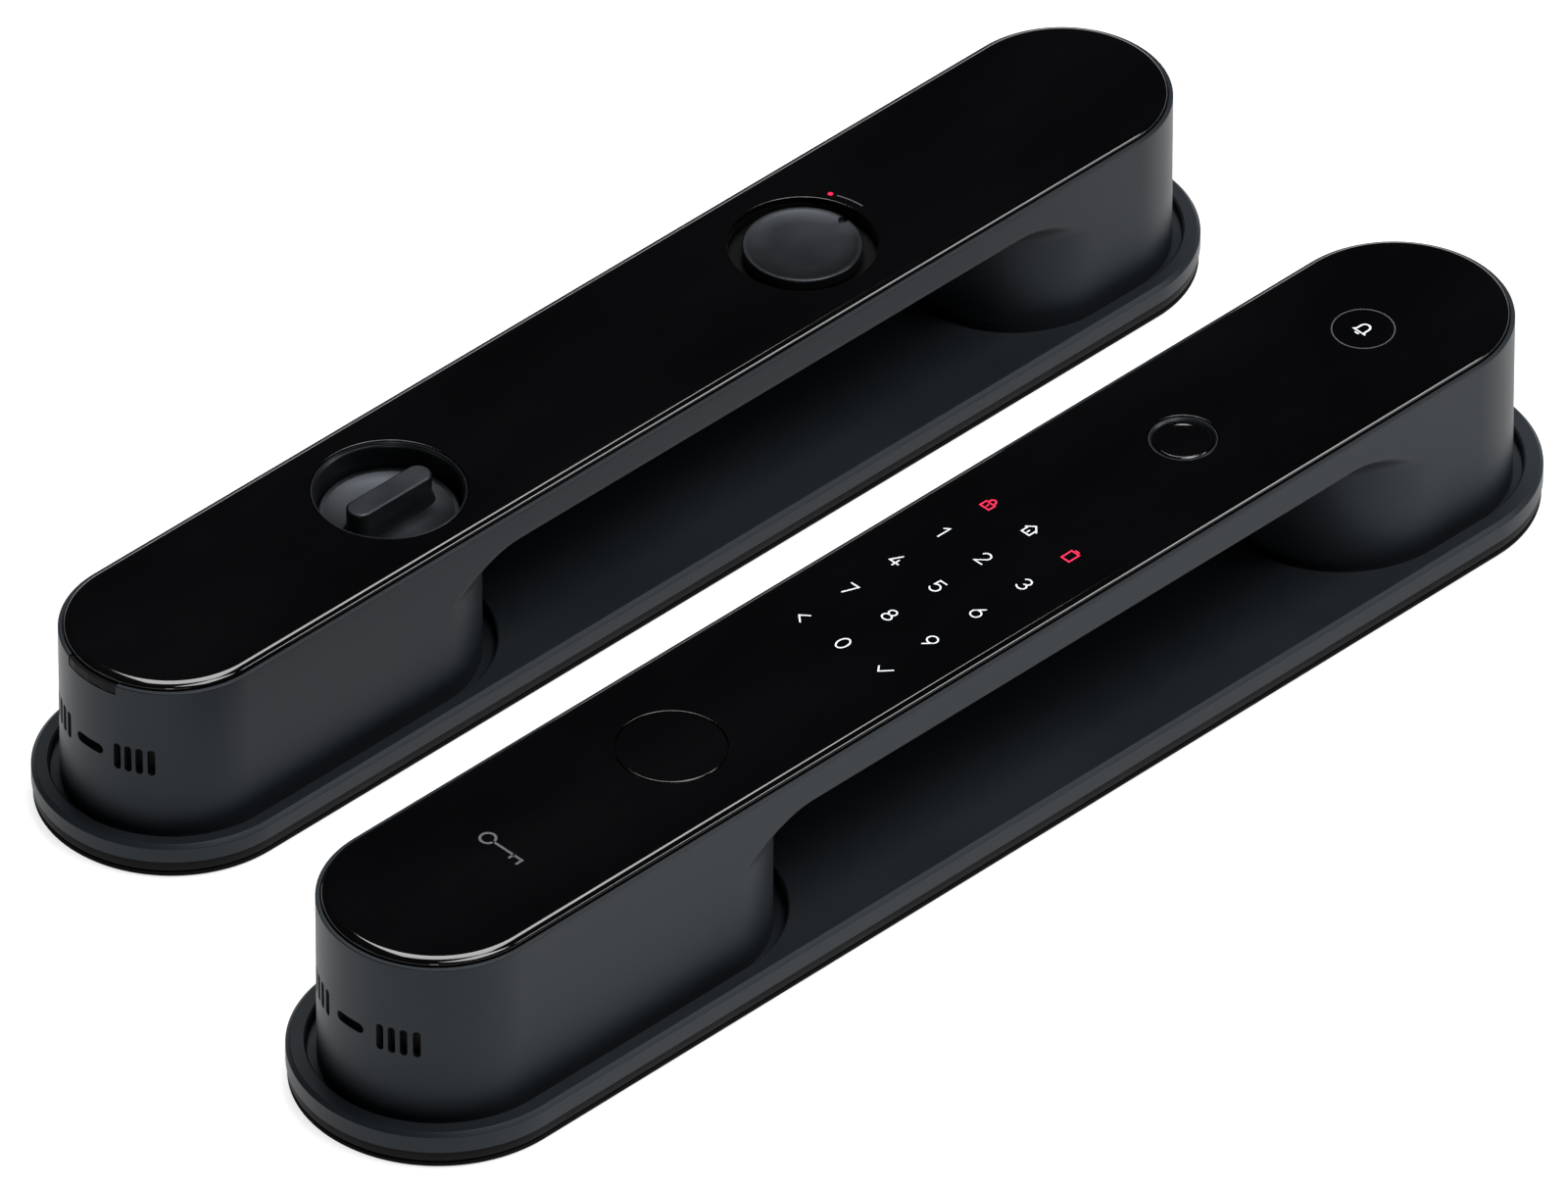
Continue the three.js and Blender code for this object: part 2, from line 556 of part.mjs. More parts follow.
// ---------- keypad unit ----------
class KeypadUnit extends LockUnit {
  constructor(x, y) {
    super(KEYPAD_SHELL, x, y);
    this.wellInner = KEY_COVER_RADIUS - 0.8;
    this.wellOuter = this.wellInner + KEY_WELL_WALL;
    this.fingerprintY = this.topEnd - FINGERPRINT_FROM_TOP;
    this.keypadY = this.topEnd - KEYPAD_FROM_TOP;
    this.tamperY = this.topPillarInner - this.cavityRadius / 2;
    this.touchBoardTop = this.rebateZ - 0.4;
    this.plugFoot = this.cavityFloor + CLEAR + 1;
    this.tailTop = this.plugFoot + 5;
    this.tamperTop = this.cavityFloor + 4;
    this.collarTop = this.cavityFloor + 1.5;
  }

  keyWindow(gap, zLow, zHigh) {
    return block(
      [-KEYPAD_WIDTH / 2 - gap, KEYPAD_WIDTH / 2 + gap],
      [this.keypadY - KEYPAD_HEIGHT / 2 - gap, this.keypadY + KEYPAD_HEIGHT / 2 + gap],
      [zLow, zHigh],
    );
  }

  outerGlass() {
    const sheet = this.glassSheet();
    const sensorHole = cylinder(FINGERPRINT_RADIUS, 0, this.glassTop + 1, 0, this.fingerprintY);
    return cut(sheet, this.driveHole(KEY_COVER_RADIUS + 0.35, 0, this.glassTop + 1), sensorHole);
  }

  outerBezel() {
    return cut(
      slab(this.carrierRadius, this.ends, [this.carrierBottom, this.carrierTop]),
      this.keyWindow(CLEAR, 0, this.handleTop),
      this.driveHole(this.wellOuter + CLEAR, 0, this.handleTop),
      cylinder(FINGERPRINT_RADIUS + CLEAR, 0, this.handleTop, 0, this.fingerprintY),
    );
  }

  touchBoard() {
    const y = [this.keypadY - KEYPAD_HEIGHT / 2 + 20, this.topEnd];
    const z = [this.touchBoardTop - BOARD_THICK, this.touchBoardTop];
    const sensorHole = cylinder(FINGERPRINT_RADIUS + CLEAR, 0, z[1] + 1, 0, this.fingerprintY);
    return cut(slab(this.cavityRadius - 1, y, z), sensorHole);
  }

  antenna() {
    const top = this.touchBoardTop - BOARD_THICK - CLEAR;
    const half = KEYPAD_WIDTH / 2 - 1;
    const low = this.keypadY - KEYPAD_HEIGHT / 2 + 8;
    const high = low + 1.3 * KEYPAD_WIDTH;
    return cut(
      block([-half, half], [low, high], [top - 0.5, top]),
      block([3 - half, half - 3], [low + 3, high - 3], [0, this.handleTop]),
    );
  }

  fingerprintSensor() {
    const outer = FINGERPRINT_RADIUS - CLEAR - FINGERPRINT_RIM - CLEAR;
    const top = this.glassTop - 0.5;
    const profile = [
      [0, this.barFloorTop + CLEAR],
      [outer, this.barFloorTop + CLEAR],
      [outer, top],
      [outer * 0.6, top - 0.35],
      [0, top - 0.5],
    ];
    return turned(profile, 0, this.fingerprintY);
  }

  fingerprintRing() {
    const outer = FINGERPRINT_RADIUS - CLEAR;
    const z = [this.carrierTop - 1, this.glassTop - 0.2];
    return ring(outer, outer - FINGERPRINT_RIM, ...z, 0, this.fingerprintY);
  }

  keyWell() {
    const floor = CYLINDER_TOP + CLEAR;
    return cut(
      this.driveHole(this.wellOuter, floor, this.carrierTop),
      this.driveHole(this.wellInner, floor + 1.5, this.carrierTop + 1),
      this.driveHole(CYLINDER_RADIUS - 1, 0, this.handleTop),
    );
  }

  keyCover() {
    const skirtOuter = this.wellInner - CLEAR;
    const skirt = this.driveHole(skirtOuter, this.carrierTop - 1.4, this.glassBottom + 0.5);
    const hollow = this.driveHole(skirtOuter - 1.5, this.carrierTop - 2, this.carrierTop - 0.2);
    const cap = this.driveHole(KEY_COVER_RADIUS, this.carrierTop + CLEAR, this.glassTop);
    return join(cap, cut(skirt, hollow));
  }

  coverMagnet() {
    return this.driveHole(4, this.carrierTop - 2, this.carrierTop - 0.2 - CLEAR);
  }

  keyCylinder() {
    const foot = this.cavityFloor + CLEAR;
    const barrel = this.driveHole(CYLINDER_RADIUS, foot, CYLINDER_TOP);
    const flange = this.driveHole(CYLINDER_RADIUS + CYLINDER_FLANGE, foot, foot + 2.5);
    return cut(join(barrel, flange), this.driveHole(PLUG_RADIUS + RUN_CLEAR, 0, this.handleTop));
  }

  keyPlug() {
    const keyway = block(
      [-KEYWAY_WIDTH / 2, KEYWAY_WIDTH / 2],
      [this.driveY - KEYWAY_HEIGHT / 2, this.driveY + KEYWAY_HEIGHT / 2],
      [CYLINDER_TOP - KEYWAY_DEPTH, this.handleTop],
    );
    const tailSlot = block(
      [-TAIL_WIDTH / 2 - CLEAR, TAIL_WIDTH / 2 + CLEAR],
      [this.driveY - TAIL_THICK / 2 - CLEAR, this.driveY + TAIL_THICK / 2 + CLEAR],
      [0, this.tailTop + CLEAR],
    );
    return cut(this.driveHole(PLUG_RADIUS, this.plugFoot, CYLINDER_TOP - 0.4), keyway, tailSlot);
  }

  tailpiece() {
    return block(
      [-TAIL_WIDTH / 2, TAIL_WIDTH / 2],
      [this.driveY - TAIL_THICK / 2, this.driveY + TAIL_THICK / 2],
      [CLEAR, this.tailTop],
    );
  }

  // Speaker behind the vents, facing the lower end.
  speaker() {
    const radius = (this.rebateZ - this.mainBoardTop) / 2 - 1;
    const z = this.mainBoardTop + radius + 0.5;
    const geometry = new THREE.CylinderGeometry(radius, radius, 6, ROUND);
    const body = solid(geometry.translate(0, this.portFront + PORT_LENGTH + 6, z));
    const cone = new THREE.CylinderGeometry(2, radius - 1.5, 2, ROUND);
    return cut(body, solid(cone.translate(0, this.portFront + PORT_LENGTH + 3.9, z)));
  }

  post(y) {
    return ring(POST_RADIUS, POST_BORE, CLEAR, this.plateTop - PLATE_SKIN - CLEAR, 0, y, SMALL);
  }

  tamperPin(radius, zLow, zHigh) {
    return cylinder(radius, zLow, zHigh, 0, this.tamperY, SMALL);
  }

  // Plunger that the door holds pressed in, its collar resting on the pillar's floor.
  tamperPlunger() {
    const collar = [this.cavityFloor + CLEAR, this.collarTop];
    return join(
      this.tamperPin(TAMPER_RADIUS, CLEAR, this.tamperTop),
      this.tamperPin(TAMPER_RADIUS + TAMPER_COLLAR, ...collar),
    );
  }

  tamperSwitch() {
    const springTop = this.tamperTop + TAMPER_TRAVEL + 3;
    return cut(
      block(
        [-7, 7],
        [this.tamperY - 5, this.tamperY + 5],
        [this.cavityFloor + CLEAR, springTop + 3],
      ),
      this.tamperPin(TAMPER_RADIUS + TAMPER_COLLAR + CLEAR, 0, springTop),
    );
  }

  tamperSpring() {
    const z = [this.collarTop + CLEAR, this.tamperTop + TAMPER_TRAVEL + 2.5];
    const coil = this.tamperPin(TAMPER_RADIUS + 1, ...z);
    return cut(coil, this.tamperPin(TAMPER_RADIUS + CLEAR, 0, this.handleTop));
  }

  addPieces() {
    const tamperHole = this.tamperPin(TAMPER_RADIUS + CLEAR, 0, this.cavityFloor + 1);
    const postHoles = this.postYs.map((y) =>
      cylinder(POST_RADIUS + CLEAR, -1, this.plateBottom, 0, y, SMALL),
    );
    const cuts = { backHoles: postHoles, throughHoles: [tamperHole], handleCuts: [] };
    this.addShared("outer", cuts);
    this.place("outer_glass", this.outerGlass(), BLACK_GLASS);
    this.place("outer_bezel", this.outerBezel(), BLACK_PLASTIC);
    this.place("keypad_light_guide", this.keyWindow(0, this.carrierBottom, this.carrierTop), DIFFUSER);
    this.place("touch_board", this.touchBoard(), BOARD);
    this.place("card_antenna", this.antenna(), BRASS);
    this.place("fingerprint_sensor", this.fingerprintSensor(), BLACK_GLASS);
    this.place("fingerprint_ring", this.fingerprintRing(), DARK_METAL);
    this.place("key_well", this.keyWell(), BLACK_PLASTIC);
    this.place("key_cover", this.keyCover(), BLACK_GLASS);
    this.place("cover_magnet", this.coverMagnet(), STEEL);
    this.place("key_cylinder", this.keyCylinder(), BRASS);
    this.place("key_plug", this.keyPlug(), BRASS);
    this.place("cylinder_tailpiece", this.tailpiece(), STEEL);
    this.place("speaker", this.speaker(), BLACK_PLASTIC);
    this.postYs.forEach((y, i) => this.place("mounting_post_" + (i + 1), this.post(y), STEEL));
    this.place("tamper_plunger", this.tamperPlunger(), BLACK_PLASTIC);
    this.place("tamper_spring", this.tamperSpring(), STEEL);
    this.place("tamper_switch", this.tamperSwitch(), BLACK_PLASTIC);
  }
}

// ---------- inner unit ----------
class InnerUnit extends LockUnit {
  constructor(x, y) {
    super(INNER_SHELL, x, y);
    this.thumbRingInner = THUMB_RECESS_RADIUS;
    this.thumbRingOuter = this.thumbRingInner + THUMB_RING_WALL;
    this.thumbFoot = Math.max(this.thumbRingOuter, this.cavityRadius - DRIVE_OFFSET + THUMB_FOOT_LAP);
    this.thumbRim = this.glassTop - THUMB_DEPTH;
    this.thumbDiscBottom = this.thumbRim - THUMB_DISC_THICK;
    this.shaftTop = this.thumbDiscBottom - 3;
    this.privacyY = this.topEnd - PRIVACY_FROM_TOP;
    this.privacyFloor = this.glassTop - PRIVACY_KNOB_THICK - 0.4;
    this.chassisBottom = this.barFloorTop + 1;
    this.chassisTop = this.rebateZ - CLEAR;
    this.buttonY = this.topEnd - this.upperRun / 2;
    this.batteryBottom = this.mainBoardTop + 2.5;
    this.batteryY = this.lowEnd + BATTERY_LENGTH / 2 - BATTERY_OVERHANG;
    this.bearingPlate = [GEAR_Z + GEAR_THICK + 2, GEAR_Z + GEAR_THICK + 4];
    this.sensorY = this.driveY - GEAR_DISTANCE;
    this.buttonSwitchTop = this.chassisBottom - 2 - CLEAR - BUTTON_TRAVEL;
  }

  innerGlass() {
    const sheet = this.glassSheet();
    const privacyHole = cylinder(PRIVACY_RECESS_RADIUS, 0, this.glassTop + 1, 0, this.privacyY);
    return cut(sheet, this.driveHole(this.thumbRingOuter + CLEAR, 0, this.glassTop + 1), privacyHole);
  }

  // Carrier under the cover glass, with the pry tab at its lower end.
  coverFrame() {
    const z = [this.carrierBottom, this.carrierTop];
    const sheet = slab(this.carrierRadius, this.ends, z);
    const open = slab(this.carrierRadius - 4, this.ends, [0, this.carrierTop - 1]);
    const rims = [
      this.driveHole(this.thumbRingOuter + CLEAR + 1.5, ...z),
      cylinder(PRIVACY_RECESS_RADIUS + 1.5, ...z, 0, this.privacyY),
    ];
    const tabBottom = this.carrierTop - TAB_HEIGHT + CLEAR;
    const tab = this.tabBlock(TAB_WIDTH / 2 - CLEAR, tabBottom, this.carrierTop).intersect(
      slab(this.handleRadius, this.ends, [0, this.handleTop]),
    );
    return cut(
      join(cut(sheet, open), ...rims, tab),
      this.driveHole(this.thumbRingOuter + CLEAR, 0, this.handleTop),
      cylinder(PRIVACY_RECESS_RADIUS, 0, this.handleTop, 0, this.privacyY),
    );
  }

  tabBlock(half, zLow, zHigh) {
    const y = [this.lowEnd - this.plateRadius, this.lowEnd - this.carrierRadius + 2.5];
    return block([-half, half], y, [zLow, zHigh]);
  }

  // Trim ring around the thumb-turn's recess, with a chamfered mouth and a foot on the bar's floor.
  thumbRing() {
    const top = this.glassTop - 0.2;
    const foot = this.barFloorTop + CLEAR;
    const profile = [
      [this.thumbRingInner, foot],
      [this.thumbRingOuter, foot],
      [this.thumbRingOuter, top],
      [this.thumbRingOuter - 0.3, top],
      [this.thumbRingInner, top - 1.2],
      [this.thumbRingInner, foot],
    ];
    const footDepth = [foot, foot + THUMB_FOOT_THICK];
    const flange = ring(this.thumbFoot, this.thumbRingInner, ...footDepth, 0, this.driveY, DIAL);
    return join(turned(profile, 0, this.driveY, DIAL), flange);
  }

  thumbTurn() {
    const rimRadius = this.thumbRingInner - TURN_GAP;
    const profile = [
      [0, this.shaftTop + CLEAR],
      [SHAFT_RADIUS + 2.5, this.shaftTop + CLEAR],
      [SHAFT_RADIUS + 2.5, this.thumbDiscBottom],
      [rimRadius - 1, this.thumbDiscBottom],
      [rimRadius, this.thumbDiscBottom + 1],
      [rimRadius, this.thumbRim],
      [rimRadius - 1, this.thumbRim],
      [rimRadius * 0.5, this.thumbRim - 1.2],
      [0, this.thumbRim - 1.2],
    ];
    return join(turned(profile, 0, this.driveY, DIAL), this.thumbBar());
  }

  // Grip bar: narrow on top, flaring towards the dish.
  thumbBar() {
    const foot = THUMB_BAR_FOOT / 2;
    const top = THUMB_BAR_WIDTH / 2;
    const high = this.glassTop - 0.2;
    const low = this.thumbRim - 1.6;
    const outline = new THREE.Shape();
    outline.moveTo(-foot, low);
    outline.lineTo(foot, low);
    outline.lineTo(top, low + 3);
    outline.lineTo(top, high - 0.6);
    outline.lineTo(top - 0.6, high);
    outline.lineTo(0.6 - top, high);
    outline.lineTo(-top, high - 0.6);
    outline.lineTo(-top, low + 3);
    outline.closePath();
    const geometry = new THREE.ExtrudeGeometry(outline, { depth: THUMB_BAR_LENGTH, bevelEnabled: false });
    geometry.rotateX(Math.PI / 2);
    geometry.translate(0, this.driveY + THUMB_BAR_LENGTH / 2, 0);
    const half = THUMB_BAR_LENGTH / 2 - foot;
    return solid(geometry).intersect(
      prism(racetrack(foot, this.driveY - half, this.driveY + half), 0, this.glassTop, 8),
    );
  }

  thumbShaft() {
    const half = SOCKET_WIDTH / 2;
    const y = [this.driveY - half, this.driveY + half];
    const socket = block([-half, half], y, [0, CLEAR + SOCKET_DEPTH]);
    return cut(this.driveHole(SHAFT_RADIUS, CLEAR, this.shaftTop), socket);
  }

  shaftBushing() {
    const inner = SHAFT_RADIUS + RUN_CLEAR;
    const [low, high] = this.bearingPlate;
    const flange = ring(inner + 3.5, inner, high + CLEAR, this.shaftTop - 0.8, 0, this.driveY);
    return join(flange, ring(inner + BUSHING_WALL, inner, low, high + 1, 0, this.driveY));
  }

  // Plate that holds the bushing and the sensor gear's pin.
  turnBracket() {
    const wide = this.plateRadius;
    const y = [this.lowEnd, this.lowPillarInner];
    const sheet = slab(this.cavityRadius - CLEAR, y, this.bearingPlate);
    const kept = block([-wide, wide], [this.sensorY - 6, y[1] + wide], this.bearingPlate);
    return cut(
      sheet.intersect(kept),
      this.driveHole(SHAFT_RADIUS + RUN_CLEAR + BUSHING_WALL + CLEAR, 0, this.handleTop),
      cylinder(1.5 + RUN_CLEAR, 0, this.handleTop, 0, this.sensorY, SMALL),
    );
  }

  // A spur gear with straight-flanked teeth, thin enough to leave backlash; turn is in teeth.
  gearDisc(teeth, zLow, zHigh, turn) {
    const pitch = (GEAR_MODULE * teeth) / 2;
    const outline = new THREE.Shape();
    const step = (2 * Math.PI) / teeth;
    const corners = [
      [-0.3, pitch - GEAR_DEDENDUM * GEAR_MODULE],
      [-0.09, pitch + GEAR_ADDENDUM * GEAR_MODULE],
      [0.09, pitch + GEAR_ADDENDUM * GEAR_MODULE],
      [0.3, pitch - GEAR_DEDENDUM * GEAR_MODULE],
    ];
    for (let tooth = 0; tooth < teeth; tooth += 1) {
      corners.forEach(([side, radius], i) => {
        const angle = (tooth + turn + side) * step;
        const move = tooth + i === 0 ? "moveTo" : "lineTo";
        outline[move](radius * Math.sin(angle), radius * Math.cos(angle));
      });
    }
    outline.closePath();
    return prism(outline, zLow, zHigh);
  }

  turnGear() {
    return cut(
      this.gearDisc(TURN_TEETH, GEAR_Z, GEAR_Z + GEAR_THICK, 0).translate([0, this.driveY, 0]),
      this.driveHole(SHAFT_RADIUS + CLEAR, 0, this.handleTop),
    );
  }

  sensorGear() {
    const disc = this.gearDisc(SENSOR_TEETH, GEAR_Z, GEAR_Z + GEAR_THICK, 0.5);
    const pin = cylinder(1.5, GEAR_Z, this.bearingPlate[1] + 1, 0, 0, SMALL);
    return join(disc, pin).translate([0, this.sensorY, 0]);
  }

  sensorBoard() {
    return block([-9, 9], [this.sensorY - 5, this.sensorY + 9], [GEAR_Z - 6, GEAR_Z - 6 + BOARD_THICK]);
  }

  // Knob flush with the glass, on a stem that turns the rotary switch; its pointer notch is at +Y.
  privacyKnob() {
    const bottom = this.privacyFloor;
    const profile = [
      [0, bottom],
      [PRIVACY_KNOB_RADIUS - 0.5, bottom],
      [PRIVACY_KNOB_RADIUS, bottom + 0.5],
      [PRIVACY_KNOB_RADIUS, this.glassTop - 0.5],
      [PRIVACY_KNOB_RADIUS - 0.5, this.glassTop],
      [PRIVACY_KNOB_RADIUS - 2.5, this.glassTop - 0.4],
      [0, this.glassTop - 0.6],
    ];
    const stem = cylinder(PRIVACY_STEM, this.chassisBottom - 0.5, bottom + 0.5, 0, this.privacyY);
    const notchY = this.privacyY + PRIVACY_KNOB_RADIUS;
    const notch = block([-1, 1], [notchY - 3, notchY + 1], [this.glassTop - 1.2, this.glassTop + 1]);
    return cut(join(turned(profile, 0, this.privacyY, DIAL), stem), notch);
  }

  rotarySwitch() {
    const z = [this.barFloorTop + CLEAR, this.chassisTop];
    return ring(SWITCH_RADIUS, PRIVACY_STEM + RUN_CLEAR, ...z, 0, this.privacyY);
  }

  // Inner chassis: closes the pillars and the bar under the cover.
  chassis() {
    const z = [this.chassisBottom, this.chassisTop];
    const sheet = slab(this.cavityRadius - CLEAR, this.ends, z);
    const edge = 0.6;
    const bay = block(
      [-BATTERY_WIDTH / 2 - edge, BATTERY_WIDTH / 2 + edge],
      [this.batteryY - BATTERY_LENGTH / 2 - edge, this.batteryY + BATTERY_LENGTH / 2 + edge],
      [0, this.handleTop],
    );
    return cut(
      sheet,
      bay,
      this.driveHole(this.thumbRingOuter + CLEAR, 0, this.handleTop),
      cylinder(SWITCH_RADIUS + CLEAR, 0, this.handleTop, 0, this.privacyY),
      cylinder(BUTTON_RADIUS + CLEAR, 0, this.handleTop, 0, this.buttonY),
    );
  }

  // Two cells side by side in one wrapped pack.
  batteryPack() {
    const y = [this.batteryY - BATTERY_LENGTH / 2, this.batteryY + BATTERY_LENGTH / 2];
    const radius = BATTERY_HEIGHT / 2;
    const spread = BATTERY_WIDTH / 2 - radius;
    const outline = racetrack(radius, -spread, spread);
    const geometry = new THREE.ExtrudeGeometry(outline, {
      depth: y[1] - y[0],
      bevelEnabled: false,
      curveSegments: 12,
    });
    geometry.rotateZ(Math.PI / 2);
    geometry.rotateX(Math.PI / 2);
    return solid(geometry.translate(0, y[1], this.batteryBottom + radius));
  }

  batteryContacts() {
    const front = this.batteryY + BATTERY_LENGTH / 2;
    return block(
      [-8, 8],
      [front + CLEAR, front + CONTACTS_LENGTH],
      [this.mainBoardTop + CLEAR, this.batteryBottom + BATTERY_HEIGHT / 2],
    );
  }

  pairingButton() {
    const foot = this.chassisBottom - 2;
    return join(
      cylinder(BUTTON_RADIUS, foot, this.chassisTop + 0.5, 0, this.buttonY),
      cylinder(BUTTON_RADIUS + 1, foot, this.chassisBottom - CLEAR, 0, this.buttonY),
    );
  }

  buttonSwitch() {
    const y = [this.buttonY - 4, this.buttonY + 4];
    return block([-4, 4], y, [this.buttonSwitchTop - BUTTON_SWITCH_TALL, this.buttonSwitchTop]);
  }

  controlBoard() {
    const top = this.buttonSwitchTop - BUTTON_SWITCH_TALL - CLEAR;
    return block([-16, 16], [this.buttonY - 12, this.buttonY + 18], [top - BOARD_THICK, top]);
  }

  mountingPlate() {
    const y = [this.postYs[0] - MOUNTING_PLATE_MARGIN, this.postYs[1] + MOUNTING_PLATE_MARGIN];
    const sheet = block([-22, 22], y, [this.plateBottom + CLEAR, this.plateBottom + 1.8]);
    const boltHoles = this.postYs.map((at) => cylinder(3, 0, this.plateTop, 0, at, SMALL));
    return cut(sheet, ...boltHoles);
  }

  addPieces() {
    const boltHoles = this.postYs.map((y) =>
      cylinder(POST_RADIUS, -1, this.plateBottom, 0, y, SMALL),
    );
    const tabNotch = this.tabBlock(TAB_WIDTH / 2, this.carrierTop - TAB_HEIGHT, this.handleTop + 1);
    const cuts = { backHoles: boltHoles, throughHoles: [], handleCuts: [tabNotch] };
    this.addShared("inner", cuts);
    this.place("mounting_plate", this.mountingPlate(), STEEL);
    this.place("cover_glass", this.innerGlass(), BLACK_GLASS);
    this.place("cover_frame", this.coverFrame(), BLACK_PLASTIC);
    this.place("thumb_ring", this.thumbRing(), DARK_METAL);
    this.place("thumb_turn", this.thumbTurn(), DARK_METAL);
    this.place("thumb_shaft", this.thumbShaft(), STEEL);
    this.place("shaft_bushing", this.shaftBushing(), BRASS);
    this.place("turn_bracket", this.turnBracket(), STEEL);
    this.place("turn_gear", this.turnGear(), DIFFUSER);
    this.place("sensor_gear", this.sensorGear(), DIFFUSER);
    this.place("sensor_board", this.sensorBoard(), BOARD);
    this.place("privacy_knob", this.privacyKnob(), DARK_METAL);
    this.place("rotary_switch", this.rotarySwitch(), BLACK_PLASTIC);
    this.place("inner_chassis", this.chassis(), BLACK_PLASTIC);
    this.place("battery_pack", this.batteryPack(), BATTERY_WRAP);
    this.place("battery_contacts", this.batteryContacts(), BRASS);
    this.place("pairing_button", this.pairingButton(), DIFFUSER);
    this.place("button_switch", this.buttonSwitch(), STEEL);
    this.place("control_board", this.controlBoard(), BOARD);
  }
}

// ---------- the set: origin in the middle of its footprint ----------
const halfLength = ({ span, plateWidth }) => (span + plateWidth) / 2;
const setWidth = SET_GAP_X + (KEYPAD_SHELL.plateWidth + INNER_SHELL.plateWidth) / 2;
const setTop = Math.max(halfLength(KEYPAD_SHELL), halfLength(INNER_SHELL) + SET_SHIFT_Y);
const setBottom = Math.min(-halfLength(KEYPAD_SHELL), SET_SHIFT_Y - halfLength(INNER_SHELL));
const keypadX = (setWidth - KEYPAD_SHELL.plateWidth) / 2;
const keypadY = -(setTop + setBottom) / 2;

const keypadUnit = new KeypadUnit(keypadX, keypadY);
const innerUnit = new InnerUnit(keypadX - SET_GAP_X, keypadY + SET_SHIFT_Y);
keypadUnit.addPieces();
innerUnit.addPieces();

export default new THREE.Group().add(keypadUnit.group, innerUnit.group);
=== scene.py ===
import json
import math

import bmesh
import bpy
from mathutils import Matrix, Vector


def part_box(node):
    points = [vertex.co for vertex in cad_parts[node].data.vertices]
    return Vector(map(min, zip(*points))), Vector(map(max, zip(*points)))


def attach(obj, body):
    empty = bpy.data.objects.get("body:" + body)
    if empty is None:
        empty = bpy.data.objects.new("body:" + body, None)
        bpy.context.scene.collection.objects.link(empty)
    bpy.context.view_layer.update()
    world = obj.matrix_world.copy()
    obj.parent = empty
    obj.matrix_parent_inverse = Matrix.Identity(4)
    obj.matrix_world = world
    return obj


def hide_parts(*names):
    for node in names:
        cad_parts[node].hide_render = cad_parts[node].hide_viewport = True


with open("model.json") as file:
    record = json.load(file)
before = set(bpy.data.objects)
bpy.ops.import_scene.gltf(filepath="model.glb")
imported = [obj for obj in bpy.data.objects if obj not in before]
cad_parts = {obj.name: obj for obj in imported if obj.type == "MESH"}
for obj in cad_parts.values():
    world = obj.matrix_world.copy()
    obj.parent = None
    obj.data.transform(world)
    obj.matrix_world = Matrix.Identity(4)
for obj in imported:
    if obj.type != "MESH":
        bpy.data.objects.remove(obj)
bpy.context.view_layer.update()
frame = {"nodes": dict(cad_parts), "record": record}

# Sizes are in millimetres here, and become metres when a mesh is made.
MM = 0.001
END_STEPS = 56  # segments in a round end
HANDLE_WALL = 2.4
HANDLE_FLOOR = 2.5
BAR_FLOOR = 2.2
RIM_WALL = 1.1
RIM_SOFT = 0.35
REBATE_DEPTH = 2.7
POCKET_GAP = 2.8
POCKET_FLOOR = 1.7
POCKET_CRESCENT = 1.2
HOLLOW_INSET = 8  # a pillar's inner end to the hollow under the plate
PLATE_SKIN = 2  # left over that hollow
CABLE_OFFSET = 24.5  # cable window, below the lower pillar's inner round centre
CABLE_WIDTH = 24
CABLE_HEIGHT = 10
DRIVE_HOLE = 8.0
POST_HOLE = 5.15
POST_PLACES = (41.6, 131.6)  # above the drive axis
TAMPER_HOLE = 2.8
SCREW_HOLE = 3.8
SCREW_INSET = 5  # from a plate's round centre
SCREW_REACH = 9  # pillar's wall to the screw
PORT_SLOT = (9.3, 3.0)
VENT_SLOT = (2.0, 8.0)
VENT_ANGLES = (18, 24, 30, 36.4)
TAB_WIDTH = 17.0
TAB_HEIGHT = 2.5
PRIVACY_RECESS = 19.2
THUMB_DEPTH = 7  # glass to the rim of the thumb-turn's dish
SHELLS = {
    "outer": {
        "lower_run": 73,
        "upper_run": 18,
        "bar_depth": 9.6,
        "flare": 10,
        "drive_rise": 6.9,
        "port_z": 32.5,
    },
    "inner": {
        "lower_run": 68,
        "upper_run": 17,
        "bar_depth": 9.0,
        "flare": 9.3,
        "drive_rise": 6.9,
        "port_z": 30.4,
    },
}


def node_radius(node):
    """Half the width of a CAD node, in millimetres."""
    low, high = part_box(node)
    return (high.x - low.x) / 2 / MM


class Unit:
    """The places of one lock unit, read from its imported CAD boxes, in millimetres in the row frame."""

    def __init__(self, prefix, glass):
        plate = [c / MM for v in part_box(prefix + "_back_plate") for c in v]
        handle = [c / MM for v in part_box(prefix + "_handle") for c in v]
        shell = SHELLS[prefix]
        self.prefix = prefix
        self.x = (plate[0] + plate[3]) / 2
        self.plate_r = (plate[3] - plate[0]) / 2
        self.low, self.high = plate[1] + self.plate_r, plate[4] - self.plate_r
        self.plate_z = (plate[2], plate[5])
        self.handle_r = (handle[3] - handle[0]) / 2
        self.handle_z = (handle[2], handle[5])
        self.low_in = self.low + shell["lower_run"]
        self.top_in = self.high - shell["upper_run"]
        self.drive = self.low_in + shell["drive_rise"]
        self.port_z = shell["port_z"]
        self.bar_bottom = handle[5] - shell["bar_depth"]
        self.bar_floor = self.bar_bottom + BAR_FLOOR
        self.cavity_r = self.handle_r - HANDLE_WALL
        self.flare = shell["flare"]
        self.glass_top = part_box(glass)[1].z / MM
        self.glass_r = node_radius(glass)
        self.glass_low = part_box(glass)[0].z / MM


